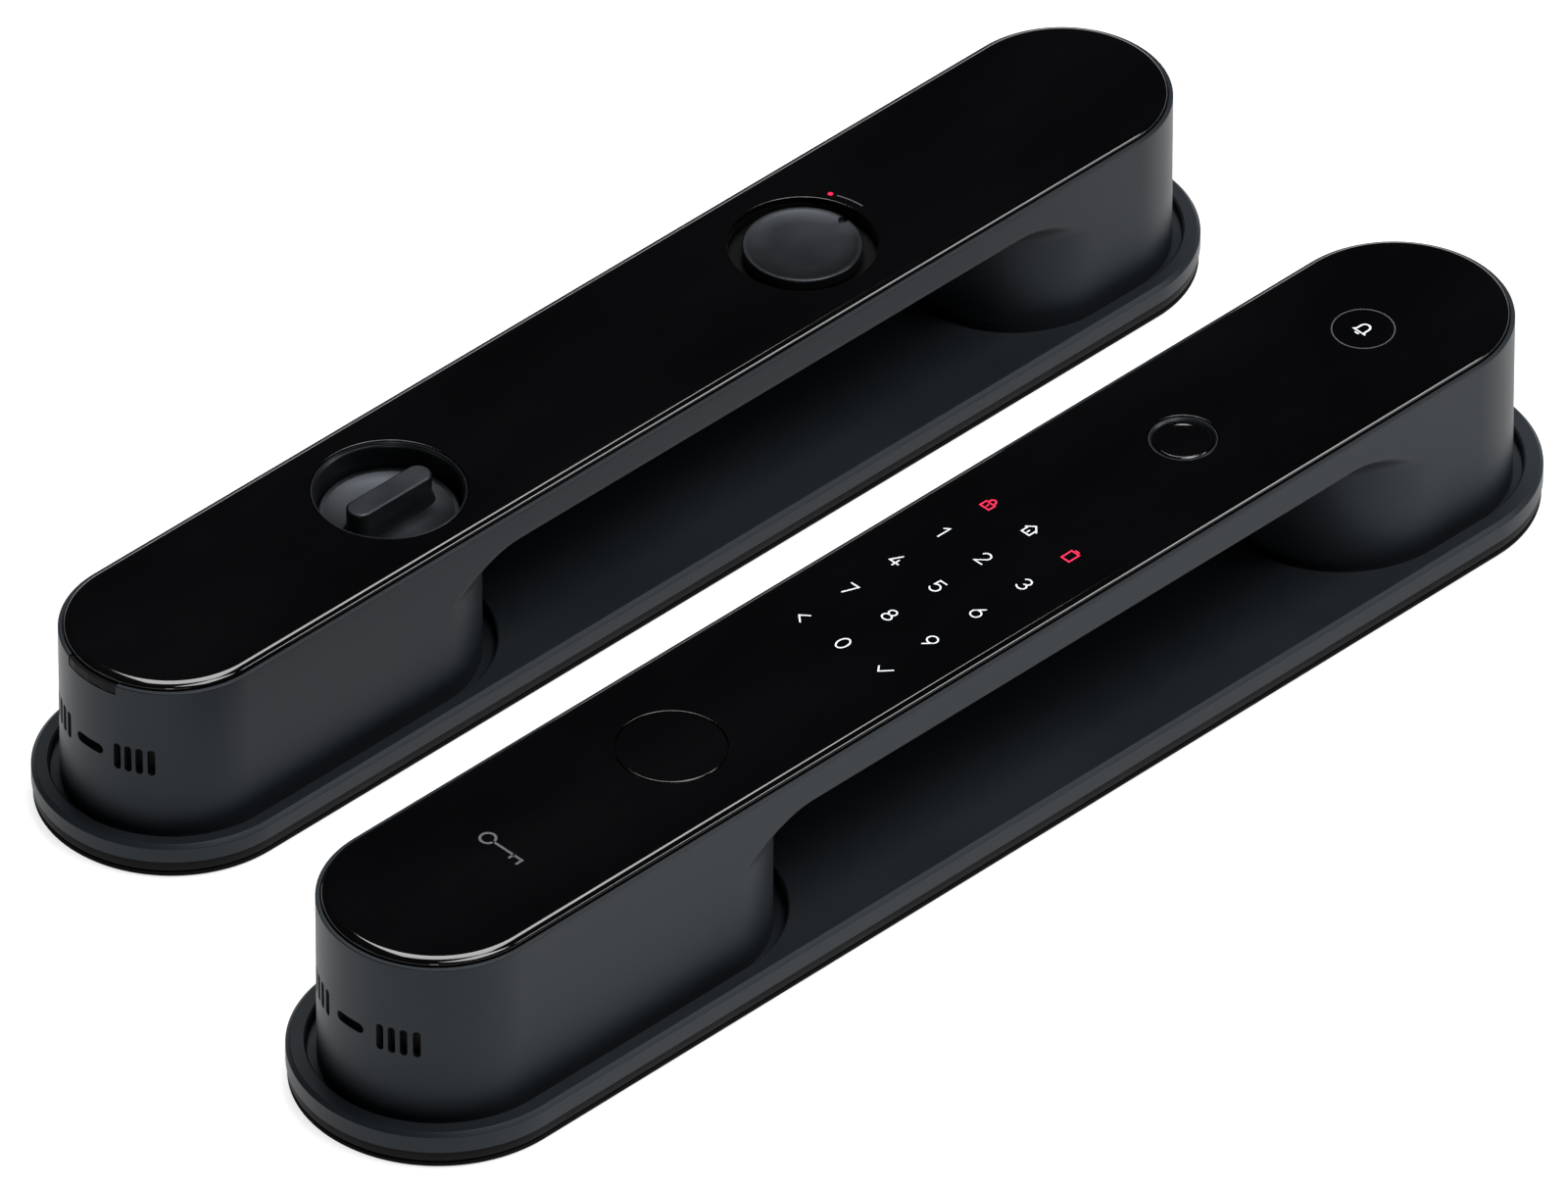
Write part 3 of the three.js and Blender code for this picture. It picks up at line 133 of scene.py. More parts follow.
# ---------- materials ----------
def material(name, base, roughness, metallic=0.0, specular=0.5):
    m = bpy.data.materials.new(name)
    m.use_nodes = True
    shader = m.node_tree.nodes["Principled BSDF"]
    shader.inputs["Base Color"].default_value = (*base, 1)
    shader.inputs["Roughness"].default_value = roughness
    shader.inputs["Metallic"].default_value = metallic
    shader.inputs["Specular IOR Level"].default_value = specular
    return m


def add(m, kind, **values):
    node = m.node_tree.nodes.new(kind)
    for key, value in values.items():
        if key in node.inputs:
            node.inputs[key].default_value = value
        else:
            setattr(node, key, value)
    return node


def link(m, source, output, target, socket):
    m.node_tree.links.new(source.outputs[output], target.inputs[socket])


def shader_of(m):
    return m.node_tree.nodes["Principled BSDF"]


def coordinates(m, stretch=(1, 1, 1)):
    """Object coordinates in metres, stretched for a directional grain."""
    place = add(m, "ShaderNodeTexCoord")
    scale = add(m, "ShaderNodeMapping")
    scale.inputs["Scale"].default_value = stretch
    link(m, place, "Object", scale, "Vector")
    return scale


def noise(m, scale, detail=3.0, stretch=(1, 1, 1)):
    tex = add(m, "ShaderNodeTexNoise", Scale=scale, Detail=detail)
    link(m, coordinates(m, stretch), "Vector", tex, "Vector")
    return tex


def spread(m, source, output, low, high, socket):
    """Maps a texture to a range of one shader number."""
    fit = add(m, "ShaderNodeMapRange")
    fit.inputs["From Min"].default_value = 0.3
    fit.inputs["From Max"].default_value = 0.7
    fit.inputs["To Min"].default_value = low
    fit.inputs["To Max"].default_value = high
    link(m, source, output, fit, "Value")
    link(m, fit, "Result", shader_of(m), socket)


def tint(m, source, output, dark, light):
    ramp = add(m, "ShaderNodeValToRGB")
    ramp.color_ramp.elements[0].position = 0.35
    ramp.color_ramp.elements[0].color = (*dark, 1)
    ramp.color_ramp.elements[1].position = 0.65
    ramp.color_ramp.elements[1].color = (*light, 1)
    link(m, source, output, ramp, "Fac")
    link(m, ramp, "Color", shader_of(m), "Base Color")
    return ramp


def bump(m, source, output, strength, distance):
    node = add(m, "ShaderNodeBump", Strength=strength, Distance=distance)
    link(m, source, output, node, "Height")
    link(m, node, "Normal", shader_of(m), "Normal")


def anodised():
    """Bead-blasted metal: fine grain, slow changes of sheen."""
    m = material("anodised", (0.019, 0.022, 0.026), 0.44, metallic=0.35, specular=0.16)
    cloud = noise(m, 18.0, 4.0)
    grain = noise(m, 2600.0, 2.0)
    tint(m, cloud, "Fac", (0.0165, 0.0205, 0.0245), (0.0205, 0.025, 0.0295))
    spread(m, cloud, "Fac", 0.4, 0.48, "Roughness")
    bump(m, grain, "Fac", 0.12, 0.00006)
    return m


def black_glass():
    m = material("black_glass", (0.0015, 0.0015, 0.0018), 0.04, specular=0.5)
    smear = noise(m, 26.0, 5.0, (1, 0.4, 1))
    tint(m, smear, "Fac", (0.001, 0.001, 0.0013), (0.0022, 0.0022, 0.0026))
    spread(m, smear, "Fac", 0.025, 0.07, "Roughness")
    return m


def moulded(name, base, grain_scale=1500.0, rough=0.5, specular=0.5):
    m = material(name, base, rough, specular=specular)
    cloud = noise(m, 40.0, 3.0)
    grain = add(m, "ShaderNodeTexVoronoi", Scale=grain_scale)
    link(m, coordinates(m), "Vector", grain, "Vector")
    tint(m, cloud, "Fac", tuple(c * 0.85 for c in base), tuple(c * 1.12 for c in base))
    spread(m, cloud, "Fac", rough - 0.06, rough + 0.08, "Roughness")
    bump(m, grain, "Distance", 0.25, 0.00008)
    return m


def machined(name, base, rough, stretch=(1, 1, 14)):
    m = material(name, base, rough, metallic=1.0)
    lines = noise(m, 260.0, 4.0, stretch)
    tint(m, lines, "Fac", tuple(c * 0.82 for c in base), tuple(min(1, c * 1.08) for c in base))
    spread(m, lines, "Fac", rough - 0.08, rough + 0.1, "Roughness")
    bump(m, lines, "Fac", 0.15, 0.00005)
    return m


def circuit_board():
    m = material("circuit_board", (0.01, 0.07, 0.03), 0.4)
    tracks = add(m, "ShaderNodeTexBrick", Scale=180.0)
    tracks.inputs["Color1"].default_value = (0.008, 0.06, 0.028, 1)
    tracks.inputs["Color2"].default_value = (0.012, 0.085, 0.04, 1)
    tracks.inputs["Mortar"].default_value = (0.02, 0.13, 0.06, 1)
    tracks.inputs["Mortar Size"].default_value = 0.05
    link(m, coordinates(m), "Vector", tracks, "Vector")
    link(m, tracks, "Color", shader_of(m), "Base Color")
    bump(m, tracks, "Fac", 0.3, 0.00005)
    return m


def print_ink(name, base, glow):
    """Ink or a lit mark seen through the glass."""
    m = material(name, base, 0.35)
    cloud = noise(m, 500.0, 2.0)
    tint(m, cloud, "Fac", tuple(c * 0.94 for c in base), base)
    shader_of(m).inputs["Emission Color"].default_value = (*base, 1)
    shader_of(m).inputs["Emission Strength"].default_value = glow
    return m


def dark_metal():
    m = material("dark_metal", (0.03, 0.033, 0.037), 0.36, metallic=0.85)
    cloud = noise(m, 60.0, 3.0)
    grain = noise(m, 3200.0, 2.0)
    tint(m, cloud, "Fac", (0.024, 0.027, 0.031), (0.034, 0.037, 0.042))
    spread(m, cloud, "Fac", 0.32, 0.42, "Roughness")
    bump(m, grain, "Fac", 0.1, 0.00005)
    return m


MATERIALS = {
    "anodised": anodised(),
    "black_glass": black_glass(),
    "black_plastic": moulded("black_plastic", (0.0035, 0.0036, 0.004), specular=0.07),
    "rubber": moulded("rubber", (0.004, 0.004, 0.0043), 900.0, 0.8, 0.06),
    "dark_metal": dark_metal(),
    "steel": machined("steel", (0.42, 0.43, 0.44), 0.32),
    "brass": machined("brass", (0.55, 0.38, 0.16), 0.32),
    "circuit_board": circuit_board(),
    "pale_plastic": moulded("pale_plastic", (0.62, 0.62, 0.6)),
    "battery_wrap": moulded("battery_wrap", (0.03, 0.09, 0.2), 500.0, 0.35),
}


LIT_WHITE = print_ink("lit_white", (0.72, 0.75, 0.78), 0.35)
LIT_RED = print_ink("lit_red", (0.75, 0.004, 0.06), 0.5)
FAINT_INK = print_ink("faint_ink", (0.09, 0.09, 0.1), 0.0)

for part in frame["record"]["subparts"]:
    node = frame["nodes"][part["node"]]
    node.data.materials.clear()
    node.data.materials.append(MATERIALS[part["material_slot"]])


# ---------- meshes ----------
def tidy_mesh(mesh, merge=1e-7):
    b = bmesh.new()
    b.from_mesh(mesh)
    bmesh.ops.remove_doubles(b, verts=b.verts, dist=merge)
    bmesh.ops.dissolve_degenerate(b, edges=b.edges, dist=merge)
    thin = [f for f in b.faces if f.calc_area() < 1e-13]
    bmesh.ops.delete(b, geom=thin, context="FACES_ONLY")
    bmesh.ops.recalc_face_normals(b, faces=b.faces)
    b.to_mesh(mesh)
    b.free()


def raw_object(name, points, faces):
    """An object whose points are millimetres in the row frame."""
    mesh = bpy.data.meshes.new(name)
    mesh.from_pydata([Vector(p) * MM for p in points], [], faces)
    tidy_mesh(mesh)
    obj = bpy.data.objects.new(name, mesh)
    bpy.context.scene.collection.objects.link(obj)
    return obj


def finish_piece(obj, body, slot, look=None, nodes=(), sharp=32.0, weighted=True):
    obj.data.materials.clear()
    obj.data.materials.append(look or MATERIALS[slot])
    obj.data.shade_smooth()
    obj.data.set_sharp_from_angle(angle=math.radians(sharp))
    if weighted:
        mod = obj.modifiers.new("normals", "WEIGHTED_NORMAL")
        mod.mode = "FACE_AREA"
        mod.keep_sharp = True
    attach(obj, body)
    if nodes:
        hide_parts(*nodes)
    return obj


def racetrack(radius, low, high, steps=END_STEPS):
    """Outline points anticlockwise from the +X side of the upper end, about x = 0."""
    points = []
    for centre, start in ((high, 0), (low, math.pi)):
        for i in range(steps + 1):
            a = start + math.pi * i / steps
            points.append((radius * math.cos(a), centre + radius * math.sin(a)))
    return points


def loft(name, x, low, high, rings, steps=END_STEPS):
    """A closed solid through racetrack rings, each (radius, z), from bottom to top."""
    points, faces = [], []
    for radius, z in rings:
        points += [(x + px, py, z) for px, py in racetrack(radius, low, high, steps)]
    n = 2 * (steps + 1)
    for r in range(len(rings) - 1):
        for i in range(n):
            j = (i + 1) % n
            faces.append((r * n + i, r * n + j, (r + 1) * n + j, (r + 1) * n + i))
    faces.append(tuple(reversed(range(n))))
    faces.append(tuple(range((len(rings) - 1) * n, len(rings) * n)))
    return raw_object(name, points, faces)


def lathe(name, x, y, profile, steps=96, closed=False):
    """A solid turned about a vertical line; profile holds (radius, z), and closed joins its two ends."""
    points, faces = [], []
    n = len(profile)
    for i in range(steps):
        a = 2 * math.pi * i / steps
        points += [(x + r * math.cos(a), y + r * math.sin(a), z) for r, z in profile]
    for i in range(steps):
        j = (i + 1) % steps
        for k in range(n if closed else n - 1):
            m = (k + 1) % n
            faces.append((i * n + k, j * n + k, j * n + m, i * n + m))
    return raw_object(name, points, faces)


def arc(cx, cz, radius, start, end, count):
    """Points of an arc in a profile, angles in degrees."""
    angles = [math.radians(start + (end - start) * i / count) for i in range(count + 1)]
    return [(cx + radius * math.cos(a), cz + radius * math.sin(a)) for a in angles]


def box_tool(name, x, y, z):
    points = [(a, b, c) for a in x for b in y for c in z]
    faces = [(0, 1, 3, 2), (4, 6, 7, 5), (0, 4, 5, 1), (2, 3, 7, 6), (0, 2, 6, 4), (1, 5, 7, 3)]
    return raw_object(name, points, faces)


def round_tool(name, x, y, radius, z_low, z_high, steps=96):
    return lathe(name, x, y, [(0, z_low), (radius, z_low), (radius, z_high), (0, z_high)], steps)


def carve(obj, tools, operation="DIFFERENCE"):
    """Cuts the tools out of obj, or joins them to it, and removes the tools."""
    bpy.context.view_layer.objects.active = obj
    for tool in tools:
        mod = obj.modifiers.new("carve", "BOOLEAN")
        mod.operation = operation
        mod.solver = "EXACT"
        mod.object = tool
        bpy.ops.object.modifier_apply(modifier=mod.name)
        mesh = tool.data
        bpy.data.objects.remove(tool)
        bpy.data.meshes.remove(mesh)
    return obj


# ---------- shared pieces of a unit ----------
def slot_tool(unit, width, height, angle):
    """A slot with round ends through the wall of the unit's lower end, angle degrees from its middle."""
    half = min(width, height) / 2
    run = max(width, height) / 2 - half
    outline = racetrack(half, -run, run, 10)
    if width > height:
        outline = [(-b, a) for a, b in outline]
    turn = Matrix.Rotation(math.radians(angle), 3, "Z")
    points = []
    for depth in (-unit.handle_r - 2, -unit.handle_r + 5):
        for a, b in outline:
            p = turn @ Vector((a, depth, 0))
            points.append((unit.x + p.x, unit.low + p.y, unit.port_z + b))
    n = len(outline)
    faces = [(i, (i + 1) % n, n + (i + 1) % n, n + i) for i in range(n)]
    faces += [tuple(reversed(range(n))), tuple(range(n, 2 * n))]
    return raw_object("slot_tool", points, faces)


def resample(line, count):
    """count + 1 points evenly along a line of (u, z) points."""
    lengths = [0.0]
    for a, b in zip(line, line[1:]):
        lengths.append(lengths[-1] + math.dist(a, b))
    result, k = [], 0
    for i in range(count + 1):
        want = lengths[-1] * i / count
        while k < len(line) - 2 and lengths[k + 1] < want:
            k += 1
        step = lengths[k + 1] - lengths[k]
        t = 0 if step < 1e-12 else min(1.0, max(0.0, (want - lengths[k]) / step))
        result.append(tuple(p + (q - p) * t for p, q in zip(line[k], line[k + 1])))
    return result


def underside(unit, reach):
    """Height of the bar's underside at a distance outside a pillar's round inner end."""
    if reach >= unit.flare:
        return unit.bar_bottom
    inside = unit.flare - reach
    return unit.bar_bottom - unit.flare + math.sqrt(max(0.0, unit.flare**2 - inside**2))


OUTLINE_STEPS = 60  # points along the handle's underside before its edge is softened
UNDERSIDE_STEPS = 16
WALL_STEPS = 8
PILLAR_STEPS = 6
CORNER_STEPS = 7
CORNER_SOFT = 1.5


def section(unit, gap, upright):
    """Half section of the handle as (distance inwards, z), at gap beyond a pillar's inner centre.

    upright says that the pillar's own wall belongs to this section.
    """
    bottom, top = unit.handle_z
    radius = unit.handle_r
    gap = max(0.0, gap)
    rim = [(radius, top), (radius * 0.5, top), (RIM_WALL, top), (RIM_SOFT, top)]
    rim += arc(RIM_SOFT, top - RIM_SOFT, RIM_SOFT, 90, 180, 4)[1:]
    inner = math.sqrt(max(0.0, radius**2 - gap**2))
    stops = [radius + (inner - radius) * (1 - math.cos(math.pi / 2 * i / 90)) for i in range(91)]
    shape = []
    for x in stops:
        shape.append((radius - x, underside(unit, math.hypot(x, gap) - radius)))
    if math.dist(shape[0], shape[-1]) > 1e-6:
        shape = resample(shape, OUTLINE_STEPS)
    else:
        shape = [shape[0]] * (OUTLINE_STEPS + 1)
    length = sum(math.dist(a, b) for a, b in zip(shape, shape[1:]))
    soft = min(CORNER_SOFT, 0.9 * length)
    edge = shape[0]
    run, k = 0.0, 0
    while k < len(shape) - 2 and run < soft:
        run += math.dist(shape[k], shape[k + 1])
        k += 1
    rest = resample(shape[k:], UNDERSIDE_STEPS)
    wall = resample([rim[-1], (0.0, edge[1] + soft)], WALL_STEPS)[1:]
    start, end = wall[-1], rest[0]
    corner = []
    for i in range(1, CORNER_STEPS):
        t = i / CORNER_STEPS
        corner.append(tuple(
            (1 - t) ** 2 * a + 2 * t * (1 - t) * c + t * t * b for a, c, b in zip(start, edge, end)
        ))
    foot = rest[-1]
    down = bottom if upright else foot[1]
    pillar = resample([foot, (foot[0], down)], PILLAR_STEPS)[1:]
    return rim + wall + corner + rest + pillar + [(radius, down)]


FAR = 999.0  # gap of a section that no pillar reaches


def stations(unit):
    """Points round the handle: (side x, side y, inward direction, gap, upright)."""
    radius = unit.handle_r
    result = []
    along = [(unit.low + (unit.low_in - unit.low) * i / 4, -1.0, True) for i in range(1, 4)]
    for i in range(41):
        gap = radius * math.sin(math.pi / 2 * i / 40)
        along.append((unit.low_in + gap, gap, True))
    along.append((unit.low_in + radius, radius, False))
    for i in range(1, 17):
        gap = radius + (unit.flare + 0.5) * i / 16
        along.append((unit.low_in + gap, gap, False))
    far = unit.low_in + radius + unit.flare + 0.5
    near = unit.top_in - radius - unit.flare - 0.5
    along += [(far + (near - far) * i / 6, FAR, False) for i in range(1, 6)]
    upper = []
    for y, gap, upright in along:
        if 0 <= gap < FAR:
            upper.append((unit.top_in - gap, gap, upright))
    along += list(reversed(upper))
    along += [(unit.top_in + (unit.high - unit.top_in) * i / 3, -1.0, True) for i in range(1, 3)]
    for i in range(END_STEPS + 1):
        a = math.pi * i / END_STEPS
        out = Vector((math.cos(a), math.sin(a)))
        result.append((out * radius + Vector((0, unit.high)), -out, -1.0, True))
    for y, gap, upright in reversed(along):
        result.append((Vector((-radius, y)), Vector((1, 0)), gap, upright))
    for i in range(END_STEPS + 1):
        a = math.pi + math.pi * i / END_STEPS
        out = Vector((math.cos(a), math.sin(a)))
        result.append((out * radius + Vector((0, unit.low)), -out, -1.0, True))
    for y, gap, upright in along:
        result.append((Vector((radius, y)), Vector((-1, 0)), gap, upright))
    return result


def handle_skin(unit):
    """The handle's outside as one closed solid: two pillars and the bar with its flared ends."""
    places = stations(unit)
    points = []
    for side, inward, gap, upright in places:
        for u, z in section(unit, gap, upright):
            points.append((unit.x + side.x + inward.x * u, side.y + inward.y * u, z))
    n = len(points) // len(places)
    faces = []
    for i in range(len(places)):
        j = (i + 1) % len(places)
        for k in range(n - 1):
            faces.append((i * n + k, i * n + k + 1, j * n + k + 1, j * n + k))
    return raw_object(unit.prefix + "_handle_shell", points, faces)


def cable_tool(unit, z_low, z_high):
    centre = unit.low_in - CABLE_OFFSET
    across = (unit.x - CABLE_WIDTH / 2, unit.x + CABLE_WIDTH / 2)
    along = (centre - CABLE_HEIGHT / 2, centre + CABLE_HEIGHT / 2)
    return box_tool("tool", across, along, (z_low, z_high))


def slab_tool(unit, radius, ends, z):
    """A racetrack-shaped tool along the unit, between two heights."""
    return loft("tool", unit.x, *ends, [(radius, z[0]), (radius, z[1])])


def make_handle(unit, extra):
    shell = handle_skin(unit)
    bottom, top = unit.handle_z
    floor = bottom + HANDLE_FLOOR
    shaft = (floor, unit.bar_floor + 0.5)
    tools = [
        slab_tool(unit, unit.handle_r - RIM_WALL, (unit.low, unit.high), (top - REBATE_DEPTH, top + 1)),
        slab_tool(unit, unit.cavity_r, (unit.low, unit.high), (unit.bar_floor, top)),
        slab_tool(unit, unit.cavity_r, (unit.low, unit.low_in), shaft),
        slab_tool(unit, unit.cavity_r, (unit.top_in, unit.high), shaft),
        slot_tool(unit, *PORT_SLOT, 0),
        cable_tool(unit, 0, floor + 1),
        round_tool("tool", unit.x, unit.drive, DRIVE_HOLE, 0, floor + 1),
        *(slot_tool(unit, *VENT_SLOT, sign * a) for a in VENT_ANGLES for sign in (-1, 1)),
        *extra,
    ]
    carve(shell, tools)
    handle = unit.prefix + "_handle"
    return finish_piece(shell, unit.prefix + "_unit", "anodised", nodes=[handle], sharp=60)


def pocket_tool(unit, low, high):
    """Cuts the pocket that a pillar stands in, with a small chamfer at its lip."""
    radius = unit.handle_r + POCKET_GAP
    top = unit.plate_z[1]
    floor = unit.plate_z[0] + POCKET_FLOOR
    rings = [
        (radius - 0.6, floor),
        (radius - 0.2, floor + 0.15),
        (radius, floor + 0.5),
        (radius, top - 0.45),
        (radius + 0.55, top + 0.1),
        (radius + 0.55, top + 2),
    ]
    return loft("tool", unit.x, low, high, rings)


def make_plate(unit):
    bottom, top = unit.plate_z
    radius = unit.plate_r
    chamfer = [*arc_rings(radius, top - 1.15, 0.25), (radius - 1.0, top - 0.08), (radius - 1.2, top)]
    rings = [(radius, bottom), *chamfer]
    plate = loft(unit.prefix + "_plate_shell", unit.x, unit.low, unit.high, rings)
    inset = unit.handle_r + HOLLOW_INSET
    hollow = box_tool(
        "tool",
        (unit.x - unit.handle_r - 1, unit.x + unit.handle_r + 1),
        (unit.low_in + inset, unit.top_in - inset),
        (bottom - 1, top - PLATE_SKIN),
    )
    tools = [
        pocket_tool(unit, unit.low, unit.low_in + POCKET_CRESCENT),
        pocket_tool(unit, unit.top_in - POCKET_CRESCENT, unit.high),
        cable_tool(unit, 0, top + 1),
        round_tool("tool", unit.x, unit.drive, DRIVE_HOLE, 0, top + 1),
        hollow,
    ]
    carve(plate, tools)
    node = unit.prefix + "_back_plate"
    return finish_piece(plate, unit.prefix + "_unit", "anodised", nodes=[node], sharp=40)


def arc_rings(radius, z, soft):
    """Rings that turn from an upright wall at z into a 45 degree chamfer."""
    turns = [math.radians(a) for a in (0, 15, 30, 45)]
    return [(radius - soft * (1 - math.cos(a)), z + soft * math.sin(a)) for a in turns]


def make_back_layer(unit, node, slot, soft):
    low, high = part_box(node)
    z0, z1 = low.z / MM, high.z / MM
    through = (z0 - 1, z1 + 1)
    radius = node_radius(node)
    rings = [(radius - soft, z0), (radius, z0 + soft), (radius, z1 - soft), (radius - soft, z1)]
    layer = loft(node + "_skin", unit.x, unit.low, unit.high, rings)
    tools = [
        cable_tool(unit, *through),
        round_tool("tool", unit.x, unit.drive, DRIVE_HOLE, *through),
    ]
    for rise in POST_PLACES:
        tools.append(round_tool("tool", unit.x, unit.drive + rise, POST_HOLE, *through, 48))
    if unit.prefix == "outer":
        tamper_y = unit.top_in - unit.cavity_r / 2
        tools.append(round_tool("tool", unit.x, tamper_y, TAMPER_HOLE, *through, 32))
    if node.endswith("base"):
        reach = unit.cavity_r - SCREW_REACH
        low_y, high_y = unit.low + SCREW_INSET, unit.high - SCREW_INSET
        for dx, y in ((-reach, low_y), (reach, low_y), (0, high_y)):
            tools.append(round_tool("tool", unit.x + dx, y, SCREW_HOLE, *through, 32))
    carve(layer, tools)
    return finish_piece(layer, unit.prefix + "_unit", slot, nodes=[node], sharp=50)


def make_glass(unit, node, holes, body):
    """Black glass with a soft edge; holes are (y, radius)."""
    radius, top, low = unit.glass_r, unit.glass_top, unit.glass_low
    turns = [math.radians(a) for a in range(90, -1, -10)]
    soft = [(radius - 2.9 * (1 - math.sin(a)), top - 1.1 * (1 - math.cos(a))) for a in turns]
    rings = [(radius - 0.15, low), (radius, low + 0.15), *soft]
    glass = loft(node + "_panel", unit.x, unit.low, unit.high, rings, 72)
    tools = []
    for y, r in holes:
        lip = [(r, top - 0.2), (r + 0.06, top - 0.07), (r + 0.2, top), (r + 0.6, top + 1)]
        profile = [(0, low - 1), (r, low - 1), *lip, (0, top + 1)]
        tools.append(lathe("tool", unit.x, y, profile, 128))
    carve(glass, tools)
    return finish_piece(glass, body, "black_glass", nodes=[node], sharp=28)


outer = Unit("outer", "outer_glass")
inner = Unit("inner", "cover_glass")
tab_tool = box_tool(
    "tool",
    (inner.x - TAB_WIDTH / 2, inner.x + TAB_WIDTH / 2),
    (inner.low - inner.plate_r, inner.low - inner.handle_r + 4.2),
    (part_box("cover_frame")[1].z / MM - TAB_HEIGHT, inner.handle_z[1] + 1),
)
make_handle(outer, [])
make_handle(inner, [tab_tool])
for unit in (outer, inner):
    make_plate(unit)
    make_back_layer(unit, unit.prefix + "_gasket", "rubber", 0.3)
    make_back_layer(unit, unit.prefix + "_base", "black_plastic", 0.25)

cover_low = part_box("key_cover")[0]
cover_r = node_radius("key_cover")
ring_low, ring_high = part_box("fingerprint_ring")
finger_y = (ring_low.y + ring_high.y) / 2 / MM
finger_r = node_radius("fingerprint_ring")
thumb_low, thumb_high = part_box("thumb_ring")
thumb_r = node_radius("thumb_ring")
knob_low, knob_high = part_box("privacy_knob")
knob_r = node_radius("privacy_knob")
knob_y = (knob_low.y + knob_high.y) / 2 / MM
outer_holes = [(outer.drive, cover_r + 0.3), (finger_y, finger_r + 0.25)]
inner_holes = [(inner.drive, thumb_r + 0.25), (knob_y, PRIVACY_RECESS)]
make_glass(outer, "outer_glass", outer_holes, "outer_unit")
make_glass(inner, "cover_glass", inner_holes, "battery_cover")

# ---------- keypad unit's round pieces ----------
top = outer.glass_top
under = cover_low.z / MM
cap_skin = top - 2.2
key_cover = lathe("key_cover_disc", outer.x, outer.drive, [
    (0, top),
    (cover_r - 0.5, top),
    *arc(cover_r - 0.35, top - 0.35, 0.35, 90, 0, 5),
    (cover_r, top - 1.4),
    (cover_r - 0.2, top - 1.7),
    (cover_r - 1.1, top - 1.7),
    (cover_r - 1.1, under + 0.2),
    (cover_r - 1.3, under),
    (cover_r - 2.6, under),
    (cover_r - 2.6, cap_skin),
    (0, cap_skin),
])
finish_piece(key_cover, "key_cover", "black_glass", nodes=["key_cover"], sharp=40)

lens_r = finger_r - 1.35
lens_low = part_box("fingerprint_sensor")[0].z / MM
lens = [(0, lens_low), (lens_r - 0.2, lens_low), (lens_r, lens_low + 0.2)]
lens += [(lens_r, top - 0.75), (lens_r - 0.3, top - 0.5)]
for share in (1, 0.9, 0.8, 0.65, 0.5, 0.35, 0.2, 0.1, 0):
    lens.append((share * (lens_r - 0.6), top - 0.5 - 0.5 * (1 - share * share)))
sensor = lathe("fingerprint_lens", outer.x, finger_y, lens)
finish_piece(sensor, "outer_unit", "black_glass", nodes=["fingerprint_sensor"], sharp=50)

ring_z = ring_high.z / MM
ring_foot = ring_low.z / MM
trim = lathe("fingerprint_trim", outer.x, finger_y, [
    (finger_r, ring_foot),
    (finger_r, ring_z - 0.15),
    (finger_r - 0.15, ring_z),
    (finger_r - 0.45, ring_z),
    (finger_r - 1.0, ring_z - 0.5),
    (finger_r - 1.0, ring_foot),
], closed=True)
finish_piece(trim, "outer_unit", "dark_metal", nodes=["fingerprint_ring"], sharp=40)

# ---------- inner unit's round pieces ----------
ring_top = thumb_high.z / MM
foot = thumb_low.z / MM
recess_r = thumb_r - 1.0
ring = lathe("thumb_ring_trim", inner.x, inner.drive, [
    (recess_r, foot),
    (thumb_r, foot),
    (thumb_r, ring_top - 0.12),
    (thumb_r - 0.12, ring_top),
    (thumb_r - 0.3, ring_top),
    *arc(recess_r + 1.0, ring_top - 1.3, 1.0, 120, 180, 5),
    (recess_r, ring_top - 1.6),
], 128, closed=True)
finish_piece(ring, "battery_cover", "dark_metal", nodes=["thumb_ring"], sharp=40)

turn_low, turn_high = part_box("thumb_turn")
disc_r = node_radius("thumb_turn")
rim_z = inner.glass_top - THUMB_DEPTH
disc = lathe("thumb_turn_disc", inner.x, inner.drive, [
    (0, turn_low.z / MM),
    (9, turn_low.z / MM),
    (9, rim_z - 2.8),
    (disc_r - 1, rim_z - 2.8),
    *arc(disc_r - 0.9, rim_z - 1.9, 0.9, -90, 0, 4),
    *arc(disc_r - 0.5, rim_z - 0.5, 0.5, 0, 90, 4),
    (disc_r - 1.4, rim_z),
    (disc_r * 0.92, rim_z - 0.1),
    (disc_r * 0.8, rim_z - 0.6),
    (disc_r * 0.62, rim_z - 1.05),
    (disc_r * 0.45, rim_z - 1.2),
    (0, rim_z - 1.2),
], 128)


def bar_ring(half_x, half_y, soft, z):
    """Points round a rounded rectangle at one height."""
    points = []
    for sx, sy, start in ((1, 1, 0), (-1, 1, 90), (-1, -1, 180), (1, -1, 270)):
        for i in range(9):
            a = math.radians(start + 90 * i / 8)
            points.append((
                inner.x + sx * (half_x - soft) + soft * math.cos(a),
                inner.drive + sy * (half_y - soft) + soft * math.sin(a), z,
            ))
    return points


